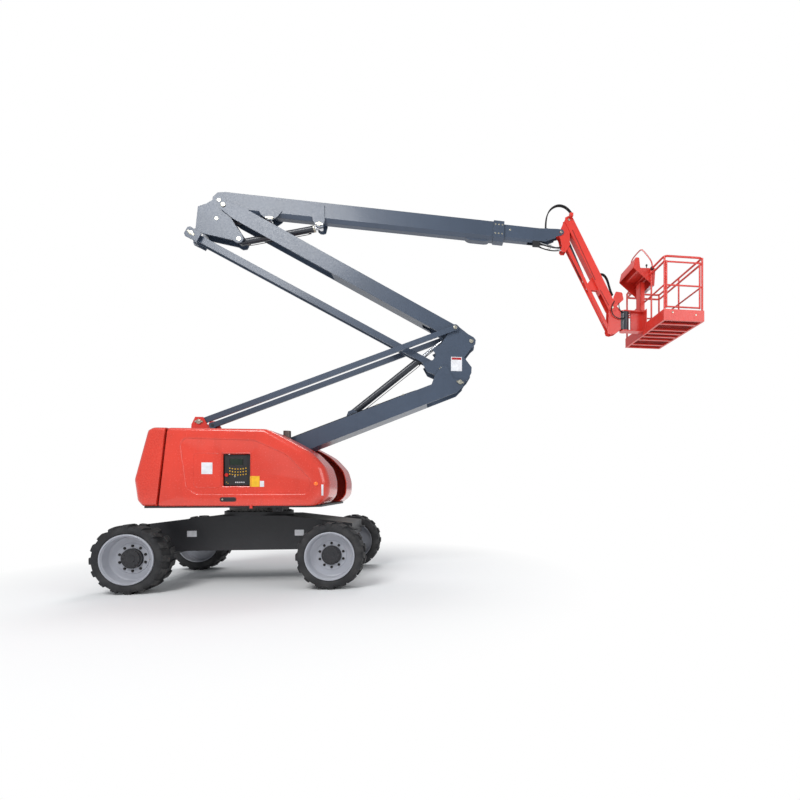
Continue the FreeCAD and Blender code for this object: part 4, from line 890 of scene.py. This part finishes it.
lift_eye, level_eye = main.at(1.709, 0, -0.228), main.at(0.849, 0, -0.208)
fly_dot = main.at(5.190, 0, 0.060)
KEEPERS = [
    # body, pin's place, side face, radius, turn in degrees, kind
    ("turntable", riser_pin, 0.296, 0.060, 0, "keeper"), ("turntable", link_pin, 0.294, 0.040, 0, "keeper"),
    ("knuckle_one", knee_pin, 0.238, 0.042, -10, "keeper"), ("knuckle_one", mid_pin, 0.206, 0.036, 0, "cap"),
    ("knuckle_one", tie_pin, 0.196, 0.042, 0, "keeper"),
    ("knuckle_one", knee_pin + link_pin - riser_pin, 0.252, 0.034, 20, "cap"),
    ("knuckle_two", head_pin, 0.176, 0.038, 0, "cap"), ("knuckle_two", main_pin, 0.140, 0.030, 0, "disc"),
    # The mid boom's plates sweep past these two, so their discs are thin
    ("knuckle_two", pin_of("lift_barrel_turn"), 0.140, 0.036, 0, "disc"),
    ("knuckle_two", pin_of("level_barrel_turn"), 0.140, 0.028, 0, "disc"),
    ("link_two", head_pin + tie_pin - mid_pin, 0.166, 0.036, -35, "keeper"),
    ("main_boom", lift_eye, 0.127, 0.034, 0, "keeper"), ("main_boom", level_eye, 0.123, 0.026, 0, "keeper"),
    ("jib_head", nose_pin, 0.092, 0.024, 0, "small cap"), ("jib_head", jib_pin, 0.092, 0.024, 0, "small cap"),
    ("jib_end", end_pin, 0.092, 0.024, 0, "small cap"), ("fly_boom", fly_dot, 0.084, 0.019, 0, "small cap")]
shapes = {}
for body, (x, _, z), face, radius, turn, kind in KEEPERS:
    shape = {"keeper": keeper(radius), "cap": cap(radius, 0.007, 0.010, 0.007),
             "small cap": cap(radius, 0.006, 0.008, 0.006), "disc": button(radius, 0.0014, 0.2, 28)}[kind]
    for side in (-1, 1):
        shapes.setdefault(body, []).append(on_side(shape, x, side * face, z, turn))
for body, row in shapes.items():
    fitting("pin_keepers_" + body, join(*row), body, 40)

# %% [markdown]
# ## Booms
# The telescope's collar is bolted on, a shallow tray hangs under the boom, and the first knuckle
# carries a warning sign. The tower's top stands out of the hoods and is painted red.

# %% Boom details
TRAY = [(4.34, -0.160), (4.80, -0.160), (4.77, -0.190), (4.70, -0.200), (4.44, -0.200), (4.38, -0.188)]
TOWER_TOP = [(-1.0345, 2.49), (-0.722, 2.49), (-0.768, 2.701), (-0.838, 2.832), (-0.962, 2.832), (-1.022, 2.701)]
KNUCKLE_FACE = 0.196
collar = []
for side in (-1, 1):
    for u in (4.905, 4.970, 5.035):
        for w in (0.118, -0.050):
            x, _, z = main.at(u, 0, w)
            collar.append(on_side(bolt(0.011, 0.008), x, side * 0.121, z))
fitting("collar_bolts", join(*collar), "main_boom", 40)
painted("boom_tray", plate(rounded(TRAY, 0.02), -0.065, 0.065, main, 0.003), "main_boom", "slate_paint")
for name, side in (("near", -1), ("far", 1)):
    sign = both_sides(rectangle(3.421, 3.772, 3.624, 4.034, 0.008), KNUCKLE_FACE, 0.002, side, 0.0005)
    piece("knuckle_sign_" + name, sign, "knuckle_one", label_white)
    band = both_sides(rectangle(3.434, 3.982, 3.611, 4.022, 0.004), KNUCKLE_FACE + 0.002, 0.001, side, 0.0003)
    piece("knuckle_sign_band_" + name, band, "knuckle_one", label_red)
tower = join(*[both_sides(TOWER_TOP, 0.2485, 0.033, side, 0.0006) for side in (1, -1)])
painted("tower_top_paint", tower, "turntable", "red_paint")

# %% [markdown]
# The jib's side has two long pressed grooves. They are drawn as narrow dark strips of painted shade
# that follow the jib's line: their darker red stands for the shade inside the grooves.

# %% Jib grooves
GROOVE_HALF = 0.010
GROOVES = [
    # start and end along the jib, height at the start and at the end
    (0.20, 1.25, -0.030, -0.066), (1.46, 1.80, -0.064, -0.050)]
# Darker red of painted shade: the shade inside the jib's grooves, and under the platform on its floor ribs
groove_shade_paint = paint("groove_red", linear(150, 34, 28), 0.5, 0.1, dust=0.1, chips=0.1)
strips = []
for side in (-1, 1):
    low, high = sorted((side * 0.0840, side * 0.0852))
    for start, stop, w0, w1 in GROOVES:
        outline = [(start, w0 - GROOVE_HALF), (stop, w1 - GROOVE_HALF), (stop, w1 + GROOVE_HALF),
                   (start, w0 + GROOVE_HALF)]
        strips.append(plate(rounded(outline, 0.009), low, high, jib, 0.0003))
piece("jib_grooves", join(*strips), "jib_tube", groove_shade_paint)

# %% [markdown]
# ## Cylinders
# A hydraulic barrel has a port block near each end, a hard line between them and a seal ring at the
# rod's gland. They are set along the line from the foot pin to the eye, so one table of the three
# cylinders that show is enough.

# %% Cylinder fittings
def cylinder_fittings(name, foot, direction, bore, short):
    """Ports, hard line and gland ring of a barrel; short is its length with the rod in."""
    rod = Boom(foot, direction)
    reach = short - 0.080
    low, high = bore + 0.060, reach - 0.110
    ports = [plate(rounded([(u - 0.022, -bore - 0.020), (u + 0.022, -bore - 0.020), (u + 0.022, -bore + 0.012),
                            (u - 0.022, -bore + 0.012)], 0.004), -0.018, 0.018, rod, 0.002) for u in (low, high)]
    outer, near_port = -bore - 0.028, -bore - 0.016
    route = [(low, near_port), (low + 0.03, outer), (low + 0.10, outer), ((low + high) / 2, outer),
             (high - 0.10, outer), (high - 0.03, outer), (high, near_port)]
    line = tube(bend([rod.at(u, 0, w) for u, w in route]), 0.006, (0, 1, 0), 10)
    body = name + "_barrel"
    piece(name + "_ports", join(*ports, line), body, dark_steel)
    ring = [(bore + 0.0045, 0), (bore + 0.006, 0.004), (bore + 0.006, 0.026), (bore + 0.0045, 0.030),
            (bore - 0.012, 0.030), (bore - 0.012, 0)]
    fitting(name + "_gland_ring", lathe(ring, rod.at(reach - 0.030, 0, 0), rod.along, 40, closed=True), body)


CYLINDERS = [
    # name, bore, length from the foot pin with the rod in
    ("riser", 0.060, 1.740), ("lift", 0.054, 1.390), ("jib", 0.034, 1.010)]
for name, bore, short in CYLINDERS:
    along_rod = np.array(JOINTS[name + "_rod_slide"]["axis"], float)
    cylinder_fittings(name, pin_of(name + "_barrel_turn"), along_rod, bore, short)

# %% [markdown]
# ## Hoses and wires
# A hose is a tube round a smooth line through a few points.

# %% Hoses at the fly boom's end and the jib
def hose(name, points, radius, body, side=(0, 1, 0), steps=8, sides=12):
    """Hose through points on one body."""
    return piece(name, tube(bend(points, steps), radius, side, sides), body, hose_rubber, 60)


def hose_between(name, points, radius, first):
    """Hose through points, made on the first body and then taken off it, its place kept in its mesh."""
    made_hose = hose(name, points, radius, first, steps=10)
    keep = made_hose.matrix_world.copy()
    made_hose.parent = None
    made_hose.matrix_world = keep
    tuple(points[0])
    tuple(points[-1])
    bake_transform(made_hose)


def level_run(path, y):
    """Points of an (x, z) path at the distance y across the machine, one value or one for each."""
    return [(x, float(across), z) for (x, z), across in zip(path, np.broadcast_to(y, len(path)))]


# The arc leaves the boom's top and comes down beside the jib, which swings up between the head's plates
ARC = [(5.252, 6.560), (5.248, 6.700), (5.262, 6.850), (5.325, 6.975), (5.475, 7.045), (5.640, 6.990),
       (5.735, 6.870)]
ARC_SHARE = np.array([0, 0.05, 0.2, 0.5, 0.85, 1.0, 1.0])
for index, (y_start, y_end) in enumerate(((-0.052, -0.158), (-0.026, -0.134), (0.004, -0.110))):
    arc = level_run(ARC, y_start + (y_end - y_start) * ARC_SHARE)
    hose_between(f"nose_hose_{index}", arc, 0.0115, "fly_boom")
SUPPLY = [(5.020, 6.345), (5.120, 6.305), (5.260, 6.262), (5.400, 6.242), (5.500, 6.250), (5.560, 6.262)]
for index, y in enumerate((-0.060, 0.060)):
    hose_between(f"nose_supply_{index}", level_run(SUPPLY, y), 0.011, "fly_boom")
large_clamp = [(5.870, 0.146), (5.935, 0.146), (5.930, 0.176), (5.875, 0.176)]
small_clamp = [(6.020, 0.146), (6.050, 0.146), (6.046, 0.170), (6.024, 0.170)]
clamp = join(plate(rounded(large_clamp, 0.006), -0.072, 0.024, main, 0.003),
             plate(rounded(small_clamp, 0.005), -0.060, 0.010, main, 0.003))
painted("fly_clamp", clamp, "fly_boom", "slate_paint")
painted("nose_hose_saddle", block((5.690, -0.172, 6.820), (5.760, -0.088, 6.884), 0.006), "jib_head", "red_paint")
wires = [[(5.050, -0.070, 6.290), (5.138, -0.088, 6.212), (5.257, -0.088, 6.160), (5.330, -0.088, 6.190),
          (5.352, -0.088, 6.290), (5.300, -0.080, 6.400)],
         [(5.090, -0.070, 6.290), (5.170, -0.092, 6.190), (5.270, -0.092, 6.176), (5.318, -0.092, 6.235),
          (5.300, -0.086, 6.330), (5.240, -0.080, 6.400)]]
for index, points in enumerate(wires):
    hose(f"fly_wire_{index}", points, 0.0035, "fly_boom", side=(0, 1, 0.2), sides=8)
painted("fly_sensor", block((4.985, -0.084, 6.240), (5.125, -0.030, 6.340), 0.006), "fly_boom", "tank_plastic")
JIB_RUN = [(6.318, 5.800), (6.400, 5.815), (6.478, 5.745), (6.522, 5.610), (6.560, 5.470), (6.600, 5.400)]
for index, y in enumerate((-0.034, -0.008, 0.018)):
    hose_between(f"jib_hose_{index}", level_run(JIB_RUN, y), 0.0105, "jib_tube")
BRACKET = [(6.575, 5.180), (6.650, 5.150), (6.720, 5.230), (6.800, 5.300), (6.770, 5.440), (6.640, 5.452),
           (6.590, 5.330)]
painted("valve_bracket", plate(rounded(BRACKET, 0.02), -0.082, -0.074, None, 0.001), "jib_end", "red_paint")
valves = [block((6.640, -0.073, 5.275), (6.765, 0.020, 5.395), 0.008)]
VALVE = [(0, 0), (0.013, 0), (0.013, 0.026), (0.009, 0.032), (0, 0.032)]
for x, z in ((6.665, 5.248), (6.700, 5.248), (6.735, 5.248), (6.680, 5.394), (6.725, 5.394)):
    valves.append(lathe(VALVE, (x, -0.030, z), (0, 0, 1), 14))
painted("valve_block", join(*valves), "jib_end", "tank_plastic")
loops = [[(6.610, -0.088, 5.262), (6.560, -0.096, 5.180), (6.536, -0.098, 5.080), (6.570, -0.098, 4.985),
          (6.660, -0.098, 4.925), (6.760, -0.098, 4.915), (6.822, -0.086, 4.960)],
         [(6.700, -0.078, 5.235), (6.702, -0.088, 5.160), (6.712, -0.090, 5.100), (6.750, -0.088, 5.062),
          (6.800, -0.078, 5.050)]]
for index, points in enumerate(loops):
    hose(f"end_hose_{index}", points, 0.0085, "jib_end")

# %% Hoses along the lower boom
TOP_OF_LOWER = 0.163
ends = [(0.30, 0.150), (0.42, TOP_OF_LOWER)]
run_on_top = ends + [(u, TOP_OF_LOWER) for u in (1.2, 2.2, 3.2, 3.86)] + [(3.98, 0.150)]
for index, y in enumerate((-0.160, -0.132, 0.132, 0.160)):
    hose(f"lower_hose_{index}", [lower.at(u, y, w) for u, w in run_on_top], 0.0125, "lower_boom")
straps = [plate(rectangle(u - 0.018, 0.149, u + 0.018, 0.181, 0.004), low, high, lower, 0.002)
          for u in (0.7, 1.5, 3.2, 3.7) for low, high in ((-0.180, -0.112), (0.112, 0.180))]
fitting("lower_hose_clamps", join(*straps), "lower_boom")

# %% [markdown]
# ## Platform
# The rails are bent tubes, so they are drawn again as round tubes with rounded corners. The console is
# a folded sheet that is open below, and it stands on a column. Places are (x, y, z) from the middle of
# the platform's inner edge at the floor.

# %% Rails
SIDE = cage_pin + (0.390, 0, 0)
LOW_X, HIGH_X, LOW_Y, HIGH_Y = 0.026, 0.754, -0.824, 0.824
TOP_RAIL, SECOND_RAIL, MIDDLE_RAIL = 1.120, 1.025, 0.600


def deck_block(low, high, edge):
    """Block between two places on the platform."""
    return block(tuple(SIDE + low), tuple(SIDE + high), edge)


def rail_ring(z, radius, corner, open_side=False):
    """Rail round the platform at one height; open on the gate's side if asked."""
    if open_side:
        turn = np.linspace(0, math.pi / 2, 7)
        rise = HIGH_Y - corner + corner * np.stack([np.sin(turn), np.cos(turn)])
        left = list(zip(LOW_X + corner - corner * np.cos(turn), rise[0]))
        right = list(zip(HIGH_X - corner + corner * np.sin(turn), rise[1]))
        line = np.array([(LOW_X, LOW_Y)] + left + right + [(HIGH_X, LOW_Y)])
    else:
        line = rectangle(LOW_X, LOW_Y, HIGH_X, HIGH_Y, corner * 1.25, 6)
    path = np.stack([SIDE[0] + line[:, 0], line[:, 1], np.full(len(line), SIDE[2] + z)], axis=-1)
    return tube(path, radius, (0, 0, 1), 16, closed=not open_side)


def post(x, y, low, high, radius):
    """Upright tube on the platform."""
    return lathe([(0, low), (radius, low), (radius, high), (0, high)], SIDE + (x, y, 0), (0, 0, 1), 16)


rails = [rail_ring(TOP_RAIL, 0.0195, 0.06), rail_ring(SECOND_RAIL, 0.0195, 0.06, True),
         rail_ring(MIDDLE_RAIL, 0.0155, 0.05, True)]
for x in (LOW_X, HIGH_X):
    for y in (LOW_Y, HIGH_Y):
        rails.append(post(x, y, 0, 1.118, 0.0185))
    rails.append(post(x, -0.310 if x == LOW_X else 0.0, 0, 1.118, 0.0165))
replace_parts(painted("platform_rail_tubes", join(*rails), "platform", "red_paint", 50), "platform_rails")
gate_tubes = [post(x, -0.816, 0.190, 1.041, 0.016) for x in (0.068, 0.710)]
for z in (SECOND_RAIL, MIDDLE_RAIL, 0.206):
    gate_tubes.append(tube([SIDE + (x, -0.816, z) for x in (0.068, 0.28, 0.50, 0.710)], 0.015, (0, 0, 1), 16))
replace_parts(painted("gate_tubes", join(*gate_tubes), "gate", "red_paint", 50), "gate")
GUARD = [(-0.345, 1.120), (-0.345, 1.220), (-0.240, 1.360), (0.000, 1.610), (0.100, 1.710), (0.200, 1.740),
         (0.480, 1.740), (0.600, 1.720), (0.640, 1.600), (0.640, 1.350), (0.640, 1.120)]
guard = tube(bend([SIDE + (LOW_X, y, z) for y, z in GUARD], 6), 0.013, (1, 0, 0), 14)
painted("console_guard", guard, "platform", "red_paint", 60)
clamps = [deck_block((LOW_X - 0.028, y - 0.03, 1.095), (LOW_X + 0.028, y + 0.03, 1.145), 0.006)
          for y in (-0.345, 0.640)]
painted("guard_clamps", join(*clamps), "platform", "tank_plastic")

# %% Console
CONSOLE = [(-0.320, 1.150), (-0.275, 1.350), (-0.200, 1.350), (-0.180, 1.152), (0.130, 1.162), (0.105, 0.810)]
SHEET = 0.004
CONSOLE_NEAR, CONSOLE_FAR = -0.270, 0.420
platform_side = Boom(SIDE, level)
skin_line = rounded(CONSOLE, 0.022, 4)
skin_in = inset(skin_line, SHEET)
# The underside stays open: the line starts in the middle of the first corner and stops before it
first = int(np.argmin(np.linalg.norm(skin_line - CONSOLE[0], axis=1)))
order = np.arange(first, first + len(skin_line) - 2) % len(skin_line)
skin = np.concatenate([skin_line[order], skin_in[order][::-1]])
walls = [plate(skin_line, low, low + SHEET, platform_side, 0.001) for low in (CONSOLE_NEAR, CONSOLE_FAR - SHEET)]
walls.append(grid(np.stack([platform_side.at(skin[:, 0], y, skin[:, 1])
                            for y in (CONSOLE_NEAR + 0.002, CONSOLE_FAR - 0.002)]), wrap_v=True, caps=True))
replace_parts(painted("console_sheet", join(*walls), "platform", "red_paint", 40), "console")
column = join(deck_block((-0.100, -0.090, 0.400), (-0.004, -0.082, 0.960), 0.002),
              deck_block((-0.100, 0.082, 0.400), (-0.004, 0.090, 0.960), 0.002),
              deck_block((-0.100, -0.090, 0.400), (-0.092, 0.090, 0.960), 0.002))
painted("console_column", column, "platform", "red_paint")
holder = [SIDE + (0.085, y, 0.840) for y in (-0.240, -0.05, 0.15, 0.390)]
moulded("document_holder", tube(holder, 0.026, (0, 0, 1), 20), "platform", label_white)
STICK = [(0.034, 0), (0.034, 0.008), (0.026, 0.020), (0.010, 0.044), (0.008, 0.080), (0.018, 0.092),
         (0.020, 0.112), (0.012, 0.126), (0, 0.128)]
sticks = [lathe(STICK, SIDE + (0.0, y, 1.155), (0, 0, 1), 20) for y in (-0.16, 0.27)]
painted("console_joysticks", join(*sticks), "platform", "panel_plastic")
switches = [SIDE + (x, y, 1.158) for x in (-0.10, -0.04) for y in np.linspace(-0.06, 0.20, 6)]
fitting("console_switches", scatter(button(0.008, 0.016), switches), "platform")
stop = lathe([(0, 0), (0.014, 0), (0.014, 0.014), (0.027, 0.018), (0.029, 0.026), (0.024, 0.034), (0, 0.036)],
             SIDE + (0.085, 0.07, 1.158), (0, 0, 1), 28)
moulded("console_stop_knob", stop, "platform", knob_red)

# %% Platform floor
# The ribs under the floor take the darker red of painted shade: it stands for the shade under the platform
ribs = [deck_block((x - 0.003, -0.808, -0.030), (x + 0.003, 0.808, -0.009), 0.001)
        for x in np.linspace(0.075, 0.705, 15)]
piece("floor_ribs", join(*ribs), "platform", groove_shade_paint)
beams = [deck_block((0.042, y - 0.030, -0.049), (0.738, y + 0.030, -0.020), 0.004) for y in (-0.62, -0.10, 0.10, 0.62)]
painted("floor_beams", join(*beams), "platform", "red_paint")
studs = [(7.402, -0.851, 4.792), (7.851, -0.851, 4.762)]
fitting("toe_board_studs", scatter(button(0.017, 0.005), studs, NEAR), "platform")
mat = plate(rectangle(0.012, -0.83, 0.768, 0.83, 0.01), 0.001, 0.004, None, 0.0005)
piece("floor_mat", (mat[0][:, [0, 2, 1]] + SIDE, mat[1], mat[2]), "platform", finishes["charcoal_paint"])

# %% [markdown]
# ## Chassis and slewing ring
# The ring is bolted all round and has teeth: its outline steps between two radii. Two small labels
# stand on each side of the chassis.

# %% Chassis details
TEETH, TEETH_FOOT, TOOTH = 120, 0.4705, 0.012
base_spots = circle_of((0, 0, 1.205), 0.515, 36, (0, 0, 1))
piece("slew_base_bolts", scatter(bolt(0.014, 0.014), base_spots), "chassis", dark_steel, 40)
corner = np.arange(TEETH * 4)
turn = corner * 2 * math.pi / len(corner)
toothed = TEETH_FOOT + np.where(corner % 4 < 2, TOOTH, 0.0)
plain = np.full(len(corner), TEETH_FOOT - 0.0005)
rings = [np.stack([radius * np.cos(turn), radius * np.sin(turn), np.full(len(corner), z)], axis=-1)
         for radius, z in ((plain, 1.222), (toothed, 1.224), (toothed, 1.270), (plain, 1.272))]
painted("slew_teeth", grid(np.stack(rings), wrap_v=True), "chassis", "bearing_steel", 25)
labels = [both_sides(rectangle(x0, 0.795, x0 + 0.150, 0.895, 0.006), 0.5200, 0.0015, side, 0.0004)
          for side in (-1, 1) for x0 in (-0.972, 0.746)]
piece("chassis_labels", join(*labels), "chassis", label_white)
cover = join(block((0.400, -0.600, 1.207), (0.560, -0.500, 1.290), 0.012),
             lathe([(0, 0), (0.020, 0), (0.020, 0.010), (0.012, 0.014), (0, 0.014)], (0.486, -0.600, 1.245), NEAR, 20))
painted("slew_cover", cover, "chassis", "charcoal_paint")

# %% [markdown]
# ## Camera, floor and light
# The camera stands low and to the right of the machine, level, and its frame is shifted instead of
# tilted, so upright edges stay upright. The floor is pale and fades to plain white far from the
# machine: a ray that goes from the camera straight to it sees white there. Large lamps stand for a
# bright studio.

# %% Camera
scene = bpy.context.scene
IMAGE = 800
FOCAL_PIXELS = 463.232
CENTRE_X = 490.379
CENTRE_Y = 487.745
camera_data = bpy.data.cameras.new("camera")
camera_data.sensor_width = 36.0
camera_data.lens = FOCAL_PIXELS / IMAGE * camera_data.sensor_width
camera_data.shift_x = (IMAGE / 2 - CENTRE_X) / IMAGE
camera_data.shift_y = (CENTRE_Y - IMAGE / 2) / IMAGE
camera_data.clip_end = 200.0
camera = bpy.data.objects.new("camera", camera_data)
camera.location = (3.119, -8.784, 1.613)
camera.rotation_euler = (math.pi / 2, 0, -0.12)
scene.collection.objects.link(camera)
scene.camera = camera

# %% Floor and world
FLOOR_RADIUS = 60.0
floor_profile = [(0, 0), (8, 0), (16, 0), (FLOOR_RADIUS, 0)]
floor_points, floor_loops, _ = lathe(floor_profile, (3, 0, 0), (0, 0, 1), 96)
floor_mesh = bpy.data.meshes.new("floor")
floor_mesh.from_pydata(floor_points.tolist(), [], floor_loops.reshape(-1, 4).tolist())
floor = bpy.data.objects.new("floor", floor_mesh)
scene.collection.objects.link(floor)
ground = Finish("floor_pale", (0.93, 0.93, 0.93, 1), 0.9, specular=0.2)
flat = ground.node("ShaderNodeEmission")
flat.inputs["Color"].default_value = (1, 1, 1, 1)
middle = ground.node("ShaderNodeMapping")
middle.inputs["Location"].default_value = (-0.3, 0, 0)
ground.link(ground.coords.outputs["Object"], middle.inputs["Vector"])
far = ground.node("ShaderNodeVectorMath", operation="LENGTH")
ground.link(middle.outputs["Vector"], far.inputs[0])
fade = ground.spread(far.outputs["Value"], 2.4, 5.6)
rays = ground.node("ShaderNodeLightPath")
direct = ground.times(rays.outputs["Is Camera Ray"], rays.outputs["Is Glossy Ray"], "ADD")
blend = ground.node("ShaderNodeMixShader")
ground.link(ground.times(fade, direct), blend.inputs["Fac"])
ground.link(ground.shader.outputs["BSDF"], blend.inputs[1])
ground.link(flat.outputs["Emission"], blend.inputs[2])
ground.link(blend.outputs["Shader"], ground.tree.nodes["Material Output"].inputs["Surface"])
floor_mesh.materials.append(ground.material)

world = bpy.data.worlds.new("studio")
scene.world = world
world.use_nodes = True
sky = world.node_tree
sky_light = sky.nodes["Background"]
sky_light.inputs["Color"].default_value = (0.90, 0.95, 1.0, 1)
sky_light.inputs["Strength"].default_value = 0.45
sky_white = sky.nodes.new("ShaderNodeBackground")
sky_white.inputs["Color"].default_value = (1, 1, 1, 1)
sky_rays = sky.nodes.new("ShaderNodeLightPath")
seen = sky.nodes.new("ShaderNodeMath")
seen.operation = "MAXIMUM"
sky.links.new(sky_rays.outputs["Is Camera Ray"], seen.inputs[0])
sky.links.new(sky_rays.outputs["Is Transmission Ray"], seen.inputs[1])
sky_mix = sky.nodes.new("ShaderNodeMixShader")
sky.links.new(seen.outputs["Value"], sky_mix.inputs["Fac"])
sky.links.new(sky_light.outputs["Background"], sky_mix.inputs[1])
sky.links.new(sky_white.outputs["Background"], sky_mix.inputs[2])
sky.links.new(sky_mix.outputs["Shader"], sky.nodes["World Output"].inputs["Surface"])
scene.view_settings.view_transform = "Standard"

# %% Lamps
LAMPS = [
    # name, place, aim, size, power in watts
    ("key", (-3.0, -10.0, 12.0), (2.5, 0, 3.0), 6.0, 1150),
    ("fill", (12.0, -8.0, 6.0), (3.0, 0, 3.0), 6.0, 330),
    ("back", (2.5, 7.0, 17.0), (2.5, 0, 3.0), 7.0, 800),
]
for name, place, aim, size, power in LAMPS:
    lamp_data = bpy.data.lights.new(name, "AREA")
    lamp_data.size = size
    lamp_data.energy = power
    lamp = bpy.data.objects.new(name, lamp_data)
    lamp.location = place
    turn = axes(np.array(place, float) - np.array(aim, float))
    lamp.rotation_euler = Matrix(turn.T.tolist()).to_euler()
    scene.collection.objects.link(lamp)
print("lamps", len(LAMPS))

# %% Finish
print("pieces", len(made), "faces", sum(made.values()))
